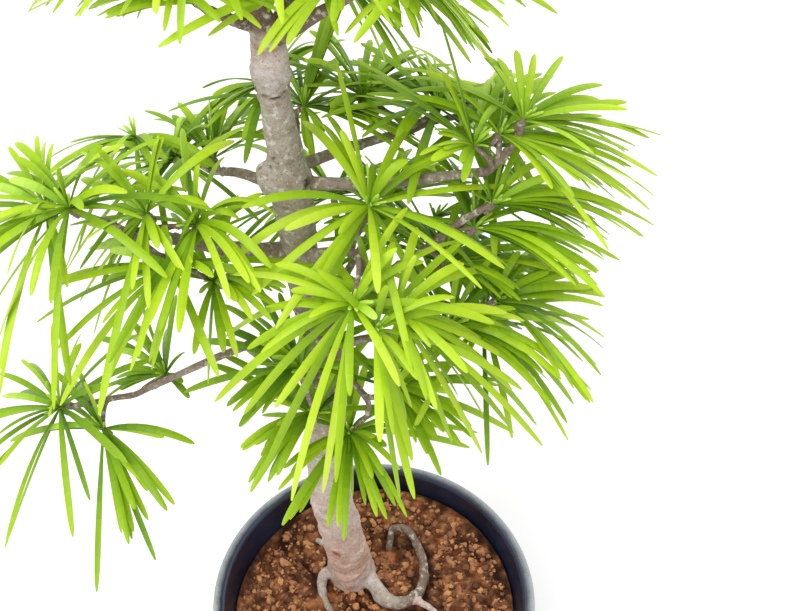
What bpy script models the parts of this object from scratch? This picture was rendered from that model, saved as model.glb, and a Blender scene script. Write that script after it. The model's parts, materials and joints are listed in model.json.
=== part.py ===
"""A golden larch bonsai in a round glazed pot, as separate closed solids.

Units are metres, +Z is up, and the origin is the middle of the pot's flat underside. Places along
the trunk, the boughs and the twigs are written in millimetres, because a bonsai is measured so.
"""

import math
import random

import bmesh
import bpy
import numpy as np
from mathutils import Matrix, Vector

MM = 0.001
GAP = 0.3 * MM  # what two pieces that touch keep between their meshes
WELD = 0.001 * MM

# The pot: a turned shell with a thicker rolled rim and three drain holes round its middle
POT_RIM_RADIUS = 76 * MM
POT_FOOT_RADIUS = 58 * MM
POT_HEIGHT = 92 * MM
POT_WALL = 4.5 * MM
POT_FLOOR = 6 * MM
POT_FOOT_ROUNDING = 3 * MM
RIM_HEIGHT = 7 * MM
RIM_OVERHANG = 1.6 * MM
RIM_ROUNDING = 1.6 * MM
POT_SIDES = 44
DRAIN_RADIUS = 5 * MM
DRAIN_RING_RADIUS = 30 * MM
DRAIN_COUNT = 3
DRAIN_SIDES = 10

# The soil fills the pot to this far below its rim
SOIL_BELOW_RIM = 15 * MM
SOIL_TOP = POT_HEIGHT - SOIL_BELOW_RIM

# The trunk from under its flat cut to its tip: height, x, y and radius in millimetres.
# It swells at the burl, 345 mm up, and at the knuckle, 394 mm up, just under its fork.
TRUNK_LINE = (
    (64, -10.4, 22.2, 13.4),
    (77, -11.1, 21.8, 11.9),
    (90, -12.4, 21.4, 10.5),
    (112, -14.6, 21.0, 9.8),
    (156, -19.4, 20.2, 9.4),
    (206, -18.8, 20.0, 8.8),
    (262, -18.2, 20.0, 8.1),
    (284, -21.0, 20.0, 7.6),
    (311, -24.1, 20.0, 7.0),
    (330, -24.4, 20.0, 7.1),
    (345, -25.2, 20.0, 8.1),
    (358, -26.3, 20.0, 6.6),
    (370, -27.4, 20.0, 5.7),
    (383, -28.2, 20.0, 5.4),
    (390, -28.6, 20.0, 6.1),
    (398, -28.8, 20.0, 6.3),
    (406, -29.1, 20.0, 5.5),
    (414, -30.2, 19.6, 4.3),
    (426, -33.0, 18.6, 3.5),
    (440, -36.0, 17.0, 2.9),
    (453, -38.0, 15.2, 2.3),
)
TRUNK_ROUND_POINTS = 1  # points between two stations, on the smooth line
TRUNK_RESOLUTION = 3  # ten sides
STUB_LINE = ((-27, 19, 343), (-31.5, 18, 349), (-34, 17.5, 354))
STUB_RADII = (6.6, 5.6, 3.2)

# Surface roots fused to the trunk's foot: their lines in millimetres, then both end radii
ROOTS = (
    (((-12, 21, 83), (-3, 16, 81), (5, 6, 79), (14, 4, 79), (22, 10, 80), (25, 24, 82), (12, 43, 85)), 5, 2),
    (((-13, 21, 82), (-25, 18, 80), (-25, 8, 78), (-19, -3, 77.5), (-11, -14, 77)), 5.0, 1.5),
    (((18, 6, 79), (27, 1, 79), (33, -8, 78), (36, -18, 77)), 2.3, 1.1),
    (((-11, 23, 82), (-20, 33, 80), (-30, 40, 78), (-41, 43, 77)), 4.8, 1.5),
)
ROOT_RESOLUTION = 1

# Each bough: its line in millimetres from inside the trunk to its tip, then both end radii
BOUGHS = {
    "bough_left": (((-26, 19, 310), (-44, 12, 319), (-57, 8.5, 327), (-76, 6, 334)), 4.6, 1.5),
    "bough_left_low": (((-20, 20, 270), (-53, 12, 262), (-86, 5, 248)), 1.9, 1.2),
    "bough_front": (((-24, 19, 309), (-14, 8, 322), (-7, 1, 331)), 2.9, 1.9),
    "bough_front_left": (((-20, 19, 276), (-23, 7, 279), (-25, 2, 279)), 1.6, 1.2),
    "bough_front_low": (((-18, 18, 250), (-8, 9, 249), (-4, 5, 248)), 1.6, 1.2),
    "bough_right": (((-24, 20, 345), (5, 18, 347), (37, 20, 350)), 2.6, 1.6),
    "bough_right_low": (((-18, 20, 262), (-1, 16, 290), (9, 15, 305), (20, 14, 317)), 2.3, 1.5),
    "bough_right_lowest": (((-18, 19, 256), (6, 12, 272), (22, 5, 284)), 1.9, 1.3),
    "bough_back_left": (((-25, 22, 338), (-44, 40, 330), (-56, 54, 318)), 2.3, 1.5),
    "bough_back": (((-26, 22, 352), (-25, 36, 349), (-25, 46, 345)), 2.0, 1.4),
    "bough_back_right": (((-25, 22, 350), (-6, 40, 343), (12, 52, 339)), 2.3, 1.5),
    "bough_back_low": (((-19, 22, 268), (-8, 42, 276), (0, 56, 282)), 1.9, 1.3),
    "bough_top_left": (((-30, 19.6, 412), (-38, 17, 417), (-44, 15, 422)), 2.3, 1.5),
    "bough_top_right": (((-29, 20, 406), (-18, 17, 416), (-8, 15, 424)), 3.3, 1.8),
    "bough_top_back": (((-29, 21, 406), (-24, 33, 411), (-18, 41, 415)), 2.2, 1.4),
}
BOUGH_RESOLUTION = 1
BOUGH_ROUND_POINTS = 2

# Each mass of foliage: the limb whose tip it grows from, the seed of its rule, and the centre of
# each tuft of needles in millimetres, the end of the mass's own stem first.
FOLIAGE = {
    "foliage_front": ("bough_front", 13, ((2, 5, 349), (-3, -30, 339), (4.4, -33, 330), (11, -25, 329))),
    "foliage_left": (
        "bough_left",
        11,
        ((-98, 2, 351), (-73, 3, 347.5), (-57, 4, 341), (-66, -3, 328), (-54, 5, 311), (-108, 9, 343)),
    ),
    "foliage_right_high": ("bough_right", 16, ((53, 20, 374), (45.5, 21, 367), (37, 19.5, 363))),
    "foliage_right": ("bough_right_low", 17, ((44, 13, 342), (38.5, 14, 329), (28, 17, 307))),
    "foliage_right_low": ("bough_right_lowest", 18, ((47, 7, 298), (30, -6, 299), (44, 16, 276))),
    "foliage_front_low": ("bough_front_low", 15, ((8, -5, 262), (-8, 0, 226))),
    "foliage_front_left": ("bough_front_left", 14, ((-25, -6, 274), (-21, -2, 241))),
    "foliage_left_low": ("bough_left_low", 12, ((-122, 3, 238), (-104, -6, 236), (-81, 16, 243))),
    "foliage_top_right": ("bough_top_right", 25, ((31, 22, 441), (14, 6, 445), (9, 22, 431), (-5, 17, 432))),
    "foliage_top_left": ("bough_top_left", 23, ((-62, 16, 430), (-47, 10, 429), (-50, 32, 434))),
    "foliage_top": ("trunk", 24, ((-44, 12, 472), (-28, 21, 468), (-53, 21, 461))),
    "foliage_back_left": ("bough_back_left", 19, ((-88, 68, 322), (-73, 60, 319), (-58, 60, 319))),
    "foliage_back_right": ("bough_back_right", 21, ((43, 62, 340), (26, 53, 350), (-1, 56, 353))),
    "foliage_back": ("bough_back", 20, ((-36, 66, 350), (-22, 53, 351))),
    "foliage_back_low": ("bough_back_low", 22, ((26, 60, 286), (8, 64, 294), (-14, 70, 289))),
    "foliage_top_back": ("bough_top_back", 26, ((3, 51, 419), (-17, 50, 423))),
}

# The rule of a tuft: needles turn by the golden angle, from spread low ones to short upright ones
GOLDEN_ANGLE = math.radians(137.508)
NEEDLES_A_TUFT = 12
NEEDLE_LENGTH = 55 * MM
NEEDLE_WIDTH = 4.2 * MM
NEEDLE_THICKNESS = 1.3 * MM
NEEDLE_SHORTEST = 0.5  # of the full length, for the last needle of a tuft
LOWEST_LEAN = math.radians(100)
STEEPEST_LEAN = math.radians(26)
LEAN_SPREAD = math.radians(9)
TURN_SPREAD = math.radians(16)
ROLL_SPREAD = math.radians(22)
NEEDLE_DROOP = 0.85
ROOT_WIDTH = 0.3  # of the full width, inside the bud
SHOULDER_AT = 0.66  # of the length, where a needle is widest
ROOT_INSET = 0.9 * MM
BUD_RADIUS = 2.7 * MM
OUTWARD = 0.55  # how far a tuft faces away from the trunk, against 1 for up
TRIES = 8  # for a needle whose first way is taken
MOST_BARS = 6000  # room for every limb, twig and needle
CLEARANCE = 0.45 * MM  # between a needle and every other mass or limb
OWN_SHARE = 0.45  # of both half-widths, between two needles of one mass
OUTER_ROOT_AT = 0.2  # of the length, where needles of one tuft have parted

TWIG_RADIUS = 1.15 * MM
TWIG_TIP_RADIUS = 0.85 * MM
TWIG_BOW = 2.5 * MM
TWIG_CUTS = 3
STEM_CUTS = 5
TWIG_SIDES = 3


def clear_scene():
    """Remove every object that is in the file."""
    for thing in list(bpy.data.objects):
        bpy.data.objects.remove(thing, do_unlink=True)


def in_metres(points):
    """Points written in millimetres, as vectors in metres."""
    return [Vector(point) * MM for point in points]


def smooth_line(points, between):
    """A Catmull-Rom line through the rows, with `between` new rows in each interval."""
    rows = [Vector(row) for row in points]
    ends = [rows[0] * 2 - rows[1]] + rows + [rows[-1] * 2 - rows[-2]]
    line = []
    for a, b, c, d in zip(ends, ends[1:], ends[2:], ends[3:]):
        for step in range(between + 1):
            t = step / (between + 1)
            slope = (c - a) * t
            bend = (2 * a - 5 * b + 4 * c - d) * t**2
            twist = (3 * b - a - 3 * c + d) * t**3
            line.append(0.5 * (2 * b + slope + bend + twist))
    return line + [rows[-1]]


def new_material(name, colour, roughness):
    """A plain Principled material with the part's own colour."""
    material = bpy.data.materials.new(name)
    material.use_nodes = True
    shader = material.node_tree.nodes["Principled BSDF"]
    shader.inputs["Base Color"].default_value = (*colour, 1)
    shader.inputs["Roughness"].default_value = roughness
    shader.inputs["Metallic"].default_value = 0
    material.diffuse_color = (*colour, 1)
    return material


def new_object(name, mesh, collection, material=None):
    """Put a mesh in the scene as a named object of one material."""
    thing = bpy.data.objects.new(name, mesh)
    collection.objects.link(thing)
    if material:
        mesh.materials.clear()
        mesh.materials.append(material)
    return thing


def mesh_from(builder, name):
    """Turn a bmesh into a mesh with its faces outwards, and free the bmesh."""
    bmesh.ops.remove_doubles(builder, verts=builder.verts, dist=WELD)
    bmesh.ops.recalc_face_normals(builder, faces=builder.faces)
    mesh = bpy.data.meshes.new(name)
    builder.to_mesh(mesh)
    builder.free()
    return mesh


def evaluated_mesh(thing):
    """The mesh of an object as its modifiers, or its curve's bevel, leave it."""
    bpy.context.view_layer.update()
    depsgraph = bpy.context.evaluated_depsgraph_get()
    return bpy.data.meshes.new_from_object(thing.evaluated_get(depsgraph))


def welded_mesh(thing):
    """The evaluated mesh with its seams and caps welded on."""
    mesh = evaluated_mesh(thing)
    builder = bmesh.new()
    builder.from_mesh(mesh)
    bpy.data.meshes.remove(mesh)
    return mesh_from(builder, thing.name)


def tube_mesh(name, line, radii, resolution, collection):
    """A round limb along a line, from a bevelled curve whose points carry the radii."""
    curve = bpy.data.curves.new(name, "CURVE")
    curve.dimensions = "3D"
    curve.bevel_depth = 1
    curve.bevel_resolution = resolution
    curve.use_fill_caps = True
    spline = curve.splines.new("POLY")
    spline.points.add(len(line) - 1)
    for point, place, radius in zip(spline.points, line, radii):
        point.co = (*place, 1)
        point.radius = radius
    thing = bpy.data.objects.new(name, curve)
    collection.objects.link(thing)
    mesh = welded_mesh(thing)
    bpy.data.objects.remove(thing, do_unlink=True)
    bpy.data.curves.remove(curve)
    return mesh


def even_radii(count, first, last):
    """Radii that taper evenly along a line of so many points."""
    return [first + (last - first) * i / (count - 1) for i in range(count)]


def bake_boolean(base, others, operation, solver):
    """Join or cut an object with a collection of others, apply that, and drop the others."""
    modifier = base.modifiers.new("join", "BOOLEAN")
    modifier.operand_type = "COLLECTION"
    modifier.collection = others
    modifier.operation = operation
    modifier.solver = solver
    mesh = evaluated_mesh(base)
    base.modifiers.remove(modifier)
    base.data = mesh
    for other in list(others.objects):
        bpy.data.objects.remove(other, do_unlink=True)
    bpy.data.collections.remove(others)


def flat_cut_below(mesh, height):
    """Cut away what lies below a height, and close the cut flat."""
    builder = bmesh.new()
    builder.from_mesh(mesh)
    everything = builder.verts[:] + builder.edges[:] + builder.faces[:]
    cut = bmesh.ops.bisect_plane(
        builder, geom=everything, plane_co=(0, 0, height), plane_no=(0, 0, 1), clear_inner=True
    )
    rim = [item for item in cut["geom_cut"] if isinstance(item, bmesh.types.BMEdge)]
    bmesh.ops.holes_fill(builder, edges=rim, sides=0)
    bmesh.ops.triangulate(builder, faces=builder.faces[:])
    bmesh.ops.recalc_face_normals(builder, faces=builder.faces)
    builder.to_mesh(mesh)
    builder.free()


def arc(centre, radius, start, end, steps):
    """Points of an arc in the plane of the turned profile, angles in degrees."""
    angles = [math.radians(start + (end - start) * i / steps) for i in range(steps + 1)]
    return [(centre[0] + radius * math.cos(a), centre[1] + radius * math.sin(a)) for a in angles]


def turned_mesh(name, profile, collection):
    """Turn a profile of (radius, height) points round the Z axis with a Screw modifier."""
    builder = bmesh.new()
    corners = [builder.verts.new((radius, 0, height)) for radius, height in profile]
    for a, b in zip(corners, corners[1:]):
        builder.edges.new((a, b))
    mesh = bpy.data.meshes.new(name)
    builder.to_mesh(mesh)
    builder.free()
    thing = bpy.data.objects.new(name, mesh)
    collection.objects.link(thing)
    screw = thing.modifiers.new("turn", "SCREW")
    screw.steps = POT_SIDES
    screw.render_steps = POT_SIDES
    screw.use_merge_vertices = True
    screw.merge_threshold = 0.01 * MM
    turned = welded_mesh(thing)
    bpy.data.objects.remove(thing, do_unlink=True)
    return turned


def inner_radius(height):
    """The radius of the pot's inside at a height."""
    share = height / POT_HEIGHT
    return POT_FOOT_RADIUS + (POT_RIM_RADIUS - RIM_OVERHANG - POT_FOOT_RADIUS) * share - POT_WALL


def make_pot(parts, cutters, material):
    """The turned shell: flat underside, tapering wall, and a rolled rim that overhangs a little."""
    rim_low = POT_HEIGHT - RIM_HEIGHT
    wall_radius = inner_radius(rim_low) + POT_WALL
    rolled = RIM_ROUNDING
    profile = [(0, POT_FLOOR), (inner_radius(POT_FLOOR), POT_FLOOR)]
    inner_top = inner_radius(POT_HEIGHT)
    profile += arc((inner_top + rolled, POT_HEIGHT - rolled), rolled, 180, 90, 2)
    profile += arc((POT_RIM_RADIUS - rolled, POT_HEIGHT - rolled), rolled, 90, 0, 2)
    profile += [(POT_RIM_RADIUS, rim_low), (wall_radius, rim_low - RIM_OVERHANG)]
    foot = POT_FOOT_ROUNDING
    profile += arc((POT_FOOT_RADIUS - foot, foot), foot, 0, -90, 2)
    profile += [(0, 0)]
    pot = new_object("pot", turned_mesh("pot", profile[::-1], parts), parts, material)
    pot.data.shade_smooth()
    pot.data.set_sharp_from_angle(angle=math.radians(35))
    for index in range(DRAIN_COUNT):
        builder = bmesh.new()
        size = {"radius1": DRAIN_RADIUS, "radius2": DRAIN_RADIUS, "depth": 4 * POT_FLOOR}
        bmesh.ops.create_cone(builder, cap_ends=True, segments=DRAIN_SIDES, **size)
        drain = new_object(f"drain_cutter_{index}", mesh_from(builder, "drain"), cutters)
        angle = math.tau * (index + 0.5) / DRAIN_COUNT
        drain.location = (DRAIN_RING_RADIUS * math.cos(angle), DRAIN_RING_RADIUS * math.sin(angle), 0)
        drain.hide_render = True
        drain.display_type = "WIRE"
        cut = pot.modifiers.new(f"drain_{index}", "BOOLEAN")
        cut.operation = "DIFFERENCE"
        cut.object = drain


def make_soil(parts, material):
    """The body of soil that fills the pot, clear of its walls by the gap."""
    low = POT_FLOOR + GAP
    profile = [
        (0, low),
        (inner_radius(low) - 2 * GAP, low),
        (inner_radius(SOIL_TOP) - 2 * GAP, SOIL_TOP),
        (0, SOIL_TOP),
    ]
    new_object("soil", turned_mesh("soil", profile, parts), parts, material)


def make_trunk(parts, cutters, material):
    """The trunk with its cut stub and surface roots fused on, and a slightly larger copy of it.

    The copy is the cutter that fits each bough to the trunk's side, the gap clear of it.
    """
    stations = smooth_line([Vector((x, y, z, r)) for z, x, y, r in TRUNK_LINE], TRUNK_ROUND_POINTS)
    line = [Vector(row[:3]) * MM for row in stations]
    radii = [row[3] * MM for row in stations]
    trunk = new_object("trunk", tube_mesh("trunk", line, radii, TRUNK_RESOLUTION, parts), parts, material)

    limbs = bpy.data.collections.new("trunk limbs")
    parts.children.link(limbs)
    stub = tube_mesh("stub", in_metres(STUB_LINE), [r * MM for r in STUB_RADII], ROOT_RESOLUTION, limbs)
    new_object("stub", stub, limbs)
    for index, (points, first, last) in enumerate(ROOTS):
        root_line = smooth_line(in_metres(points), 1)
        root_radii = even_radii(len(root_line), first * MM, last * MM)
        name = f"root_{index}"
        new_object(name, tube_mesh(name, root_line, root_radii, ROOT_RESOLUTION, limbs), limbs)
    bake_boolean(trunk, limbs, "UNION", "EXACT")
    flat_cut_below(trunk.data, SOIL_TOP + GAP)
    trunk.data.materials.append(material)

    grown_radii = [radius + GAP for radius in radii]
    grown_line = list(line)
    grown_line[-1] = line[-1] + (line[-1] - line[-2]).normalized() * GAP
    grown = new_object(
        "trunk_cutter", tube_mesh("trunk_cutter", grown_line, grown_radii, TRUNK_RESOLUTION, cutters), cutters
    )
    grown.hide_render = True
    grown.display_type = "WIRE"
    return line, radii, grown


def make_boughs(parts, material, trunk_cutter):
    """One tapering limb for each bough, cut to the trunk's side."""
    lines = {}
    for name, (points, first, last) in BOUGHS.items():
        line = smooth_line(in_metres(points), BOUGH_ROUND_POINTS)
        radii = even_radii(len(line), first * MM, last * MM)
        bough = new_object(name, tube_mesh(name, line, radii, BOUGH_RESOLUTION, parts), parts, material)
        cut = bough.modifiers.new("fit to trunk", "BOOLEAN")
        cut.operation = "DIFFERENCE"
        cut.object = trunk_cutter
        lines[name] = (line, radii)
    return lines


class Taken:
    """The room that limbs, twigs and needles have taken, as round bars with the mass that owns each.

    A free bar, such as a needle's outer part, is kept clear of by its own mass's needles too.
    """

    def __init__(self):
        self.bars = np.empty((MOST_BARS, 9))
        self.count = 0
        self.owners = {}

    def owner_number(self, owner):
        return self.owners.setdefault(owner, len(self.owners))

    def add(self, line, radii, owner, free=False):
        """Take the bars between the points of a line, each with its radius."""
        for start, end, radius in zip(line, line[1:], radii):
            self.bars[self.count] = (*start, *end, radius, self.owner_number(owner), free)
            self.count += 1

    def room_for(self, line, radius, owner):
        """True where a needle, given as root, outer root, shoulder and tip, keeps its clearances."""
        bars = self.bars[: self.count]
        own = bars[:, 7] == self.owner_number(owner)
        free = bars[:, 8] == 1
        reach = (bars[:, 6] + radius) * np.where(own, OWN_SHARE, 1) + CLEARANCE
        for index, (a, b) in enumerate(zip(line, line[1:])):
            tested = ~own if index == 0 else ~own | free
            gaps = bar_distances(np.array(a), np.array(b), bars[tested, :3], bars[tested, 3:6])
            if (gaps < reach[tested]).any():
                return False
        return True


def bar_distances(a, b, starts, ends):
    """The distance of the straight bar from a to b to each bar from starts to ends."""
    along, others, between = b - a, ends - starts, a - starts
    own = along @ along
    theirs = np.maximum((others * others).sum(1), 1e-18)
    across = others @ along
    own_offset = between @ along
    their_offset = (between * others).sum(1)
    spread = np.maximum(own * theirs - across**2, 1e-18)
    s = np.clip((across * their_offset - own_offset * theirs) / spread, 0, 1)
    t = np.clip((across * s + their_offset) / theirs, 0, 1)
    s = np.clip((across * t - own_offset) / own, 0, 1)
    nearest_own = a + s[:, None] * along
    nearest_theirs = starts + t[:, None] * others
    return np.linalg.norm(nearest_own - nearest_theirs, axis=1)


def bent_bar(name, sides, cuts, section):
    """A straight bar of few sides, cut across and bent, for a twig or a needle.

    section(t) gives the centre and the two half-widths, as vectors, at a share t of its length.
    """
    builder = bmesh.new()
    upright = Matrix.Translation((0, 0, 0.5))
    bmesh.ops.create_cone(
        builder, cap_ends=True, segments=sides, radius1=1, radius2=1, depth=1, matrix=upright
    )
    for cut in cuts:
        everything = builder.verts[:] + builder.edges[:] + builder.faces[:]
        bmesh.ops.bisect_plane(builder, geom=everything, plane_co=(0, 0, cut), plane_no=(0, 0, 1))
    for vert in builder.verts:
        centre, across, thick = section(vert.co.z)
        vert.co = centre + across * vert.co.x + thick * vert.co.y
    bmesh.ops.triangulate(builder, faces=builder.faces[:])
    return mesh_from(builder, name)


def bezier(a, b, c, t):
    """A point of the arc from a to c that leaves a towards b."""
    return a * (1 - t) ** 2 + b * 2 * t * (1 - t) + c * t**2


def twig_line(start, heading, end, rng, cuts):
    """The line of a twig that leaves along its parent, bows a little, and ends in a tuft."""
    reach = (end - start).length
    bow = Vector((rng.uniform(-1, 1), rng.uniform(-1, 1), rng.uniform(-0.4, 1))) * TWIG_BOW
    turn = start + heading * reach * 0.45 + bow
    return [bezier(start, turn, end, i / cuts) for i in range(cuts + 1)]


def twig_mesh(name, line, first, last):
    """A three-sided twig along a line."""
    steps = len(line) - 1

    def section(t):
        index = min(int(round(t * steps)), steps)
        before, after = line[max(index - 1, 0)], line[min(index + 1, steps)]
        heading = (after - before).normalized()
        across = heading.cross(Vector((0.31, 0.12, 0.94))).normalized()
        radius = first + (last - first) * t
        return line[index], across * radius, heading.cross(across) * radius

    return bent_bar(name, TWIG_SIDES, [i / steps for i in range(1, steps)], section)


def facing(centre, trunk_line):
    """The way a tuft faces: up, and away from the trunk."""
    nearest = min(trunk_line, key=lambda point: abs(point.z - centre.z))
    away = Vector((centre.x - nearest.x, centre.y - nearest.y, 0)).normalized()
    return (away * OUTWARD + Vector((0, 0, 1))).normalized()


def needle_arc(root, heading, length, t):
    """A point of a needle: it sets out along its heading and droops under its own weight."""
    return root + (heading * t + Vector((0, 0, -0.5)) * NEEDLE_DROOP * t**2) * length


def needle_heading(axis, index, count, rng):
    """Heading and length of one needle of a tuft, from the spread low ones to the upright ones."""
    share = index / (count - 1)
    turn = index * GOLDEN_ANGLE + rng.uniform(-TURN_SPREAD, TURN_SPREAD)
    lean = LOWEST_LEAN + (STEEPEST_LEAN - LOWEST_LEAN) * share**1.3 + rng.uniform(-LEAN_SPREAD, LEAN_SPREAD)
    length = NEEDLE_LENGTH * (1 - (1 - NEEDLE_SHORTEST) * share**2) * rng.uniform(0.88, 1.04)
    side = axis.cross(Vector((1, 0, 0))).normalized()
    other = axis.cross(side)
    return axis * math.cos(lean) + (side * math.cos(turn) + other * math.sin(turn)) * math.sin(lean), length


def needle_mesh(name, root, heading, length, axis, roll):
    """One needle: a three-sided blade, narrow at its root, widest past its middle, pointed."""
    across = heading.cross(axis).normalized()
    across = Matrix.Rotation(roll, 3, heading) @ across

    def section(t):
        flat = across * NEEDLE_WIDTH / 2
        thick = heading.cross(across) * NEEDLE_THICKNESS / 2
        width = 0 if t > 0.99 else ROOT_WIDTH if t < 0.01 else 1
        return needle_arc(root, heading, length, t), flat * width, thick * max(width, 0)

    return bent_bar(name, 3, [SHOULDER_AT], section)


def largest_body(mesh):
    """Keep the largest closed body of a mesh, which drops loose scraps and fills sealed hollows."""
    builder = bmesh.new()
    builder.from_mesh(mesh)
    unseen = set(builder.faces)
    bodies = []
    while unseen:
        front = [unseen.pop()]
        body = set(front)
        while front:
            for edge in front.pop().edges:
                for face in edge.link_faces:
                    if face in unseen:
                        unseen.remove(face)
                        body.add(face)
                        front.append(face)
        bodies.append(body)
    bodies.sort(key=len)
    scraps = [face for body in bodies[:-1] for face in body]
    bmesh.ops.delete(builder, geom=scraps, context="FACES")
    builder.to_mesh(mesh)
    builder.free()


def limb_tip(line):
    """The point the gap past a limb's tip, and the limb's heading there."""
    heading = (line[-1] - line[-2]).normalized()
    return line[-1] + heading * GAP, heading


def grow_twigs(name, limb, rng, centres, wood):
    """The stem and twigs of one mass: a main stem to the first tuft, and a twig to each other one."""
    start, heading = limb_tip(limb[0])
    stem = twig_line(start, heading, centres[0], rng, STEM_CUTS)
    stem[1] = start + heading * (stem[1] - start).length
    twigs = [(stem, limb[1][-1] * 0.95, TWIG_RADIUS)]
    for centre in centres[1:]:
        nearest = min(range(len(stem)), key=lambda i: (stem[i] - centre).length)
        leave = max(nearest - rng.choice((1, 2)), 0)
        onward = (stem[leave + 1] - stem[leave]).normalized()
        origin = stem[leave] + onward * (0.8 * MM if leave == 0 else 0)
        twigs.append((twig_line(origin, onward, centre, rng, TWIG_CUTS), TWIG_RADIUS, TWIG_TIP_RADIUS))
    for line, first, last in twigs:
        wood.add(line, even_radii(len(line), first, last), name)
    return twigs


def make_foliage(parts, material, limbs, trunk_line):
    """Grow every mass: first all twigs, then the needles, which stay clear of the other masses."""
    taken = Taken()
    for line, radii in limbs.values():
        taken.add(line, radii, "limb")
    grown = {}
    for name, (limb, seed, places) in FOLIAGE.items():
        rng = random.Random(seed)
        centres = in_metres(places)
        grown[name] = (rng, centres, grow_twigs(name, limbs[limb], rng, centres, taken))
        for centre in centres:
            taken.add([centre, centre + Vector((0, 0, BUD_RADIUS / 4))], [BUD_RADIUS], name)
    for name, (rng, centres, twigs) in grown.items():
        pieces = bpy.data.collections.new(f"{name} pieces")
        parts.children.link(pieces)
        stem, first, last = twigs[0]
        mass = new_object(name, twig_mesh(name, stem, first, last), parts, material)
        for line, first, last in twigs[1:]:
            new_object("twig", twig_mesh("twig", line, first, last), pieces)
        for centre in centres:
            grow_tuft(name, centre, facing(centre, trunk_line), rng, pieces, taken)
        bake_boolean(mass, pieces, "UNION", "MANIFOLD")
        largest_body(mass.data)
        mass.data.materials.append(material)


def grow_tuft(name, centre, axis, rng, pieces, taken):
    """A bud and its needles. A needle that finds no room after a few tries is left out."""
    builder = bmesh.new()
    bmesh.ops.create_uvsphere(
        builder, u_segments=4, v_segments=2, radius=BUD_RADIUS, matrix=Matrix.Translation(centre)
    )
    new_object("bud", mesh_from(builder, "bud"), pieces)
    for index in range(NEEDLES_A_TUFT):
        roll = rng.uniform(-ROLL_SPREAD, ROLL_SPREAD)
        for _ in range(TRIES):
            heading, length = needle_heading(axis, index, NEEDLES_A_TUFT, rng)
            root = centre + heading * ROOT_INSET
            line = [needle_arc(root, heading, length, t) for t in (0, OUTER_ROOT_AT, SHOULDER_AT, 1)]
            if line[-1].z > SOIL_TOP and taken.room_for(line, NEEDLE_WIDTH / 2, name):
                taken.add(line[:2], [NEEDLE_WIDTH / 2], name)
                taken.add(line[1:], [NEEDLE_WIDTH / 2] * 2, name, free=True)
                new_object("needle", needle_mesh("needle", root, heading, length, axis, roll), pieces)
                break


def main():
    clear_scene()
    parts = bpy.data.collections.new("golden larch bonsai")
    cutters = bpy.data.collections.new("cutters")
    bpy.context.scene.collection.children.link(parts)
    bpy.context.scene.collection.children.link(cutters)

    glaze = new_material("navy glaze", (0.02, 0.03, 0.06), 0.3)
    earth = new_material("granular soil", (0.17, 0.08, 0.045), 0.95)
    bark = new_material("larch bark", (0.33, 0.28, 0.25), 0.9)
    leaf = new_material("larch needles", (0.32, 0.55, 0.03), 0.55)

    make_pot(parts, cutters, glaze)
    make_soil(parts, earth)
    trunk_line, trunk_radii, trunk_cutter = make_trunk(parts, cutters, bark)
    limbs = make_boughs(parts, bark, trunk_cutter)
    limbs["trunk"] = (trunk_line, trunk_radii)
    make_foliage(parts, leaf, limbs, trunk_line)


main()
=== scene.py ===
# %% [markdown]
# # A golden larch bonsai in a round glazed pot
#
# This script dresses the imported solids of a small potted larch. The solids give the true sizes: a pot,
# its soil, a trunk, fifteen boughs and sixteen masses of foliage. Each of them gets the looks of the
# real thing here: a turned and glazed pot, crumbly soil, wrinkled bark, and more than a thousand soft
# flat needles in tufts. Everything is in metres, and the origin is the middle of the pot's foot.

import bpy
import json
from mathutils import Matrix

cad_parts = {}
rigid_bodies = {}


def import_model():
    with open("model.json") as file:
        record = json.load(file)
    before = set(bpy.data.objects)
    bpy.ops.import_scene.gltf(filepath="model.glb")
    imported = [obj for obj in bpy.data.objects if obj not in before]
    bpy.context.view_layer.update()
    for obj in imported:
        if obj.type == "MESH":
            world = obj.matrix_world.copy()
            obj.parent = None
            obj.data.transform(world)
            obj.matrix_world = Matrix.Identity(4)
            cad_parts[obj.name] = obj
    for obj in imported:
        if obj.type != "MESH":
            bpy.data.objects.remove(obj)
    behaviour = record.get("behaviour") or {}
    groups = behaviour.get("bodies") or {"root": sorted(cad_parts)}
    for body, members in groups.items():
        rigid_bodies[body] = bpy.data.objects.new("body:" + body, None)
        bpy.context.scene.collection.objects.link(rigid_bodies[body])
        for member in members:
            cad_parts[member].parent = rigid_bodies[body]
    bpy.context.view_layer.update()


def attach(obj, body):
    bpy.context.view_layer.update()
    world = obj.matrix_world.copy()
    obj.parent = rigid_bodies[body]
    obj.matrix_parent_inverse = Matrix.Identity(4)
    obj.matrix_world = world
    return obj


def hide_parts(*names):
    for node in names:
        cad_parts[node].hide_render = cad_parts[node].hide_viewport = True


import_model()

# %% Bring in what the later cells use
import json
import math
import random

import bmesh
import bpy
import numpy as np
from mathutils import Matrix, Vector, kdtree, noise

MM = 0.001
scene = bpy.context.scene

# %% [markdown]
# ## The camera
#
# The photograph looks steeply down on the plant from close by. That is why the pot, which is further
# from the lens, looks small beside the upper needles. The rim of the pot is a circle whose outline in
# the picture fixes how high the camera stands, how far away and how steeply it looks down. Copying
# those numbers is surer than moving the camera about until the picture seems right.

# %% Set up the camera
camera_data = bpy.data.cameras.new("camera")
camera_data.lens = 63
camera_data.sensor_width = 36
camera = bpy.data.objects.new("camera", camera_data)
camera.location = (0.0122536, -0.32600763, 0.68433537)
camera.rotation_euler = (math.radians(40.5683), 0, 0)
scene.collection.objects.link(camera)
scene.camera = camera
scene.view_settings.view_transform = "Standard"
print("camera looks down by", round(90 - math.degrees(camera.rotation_euler.x), 1), "degrees")

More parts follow.
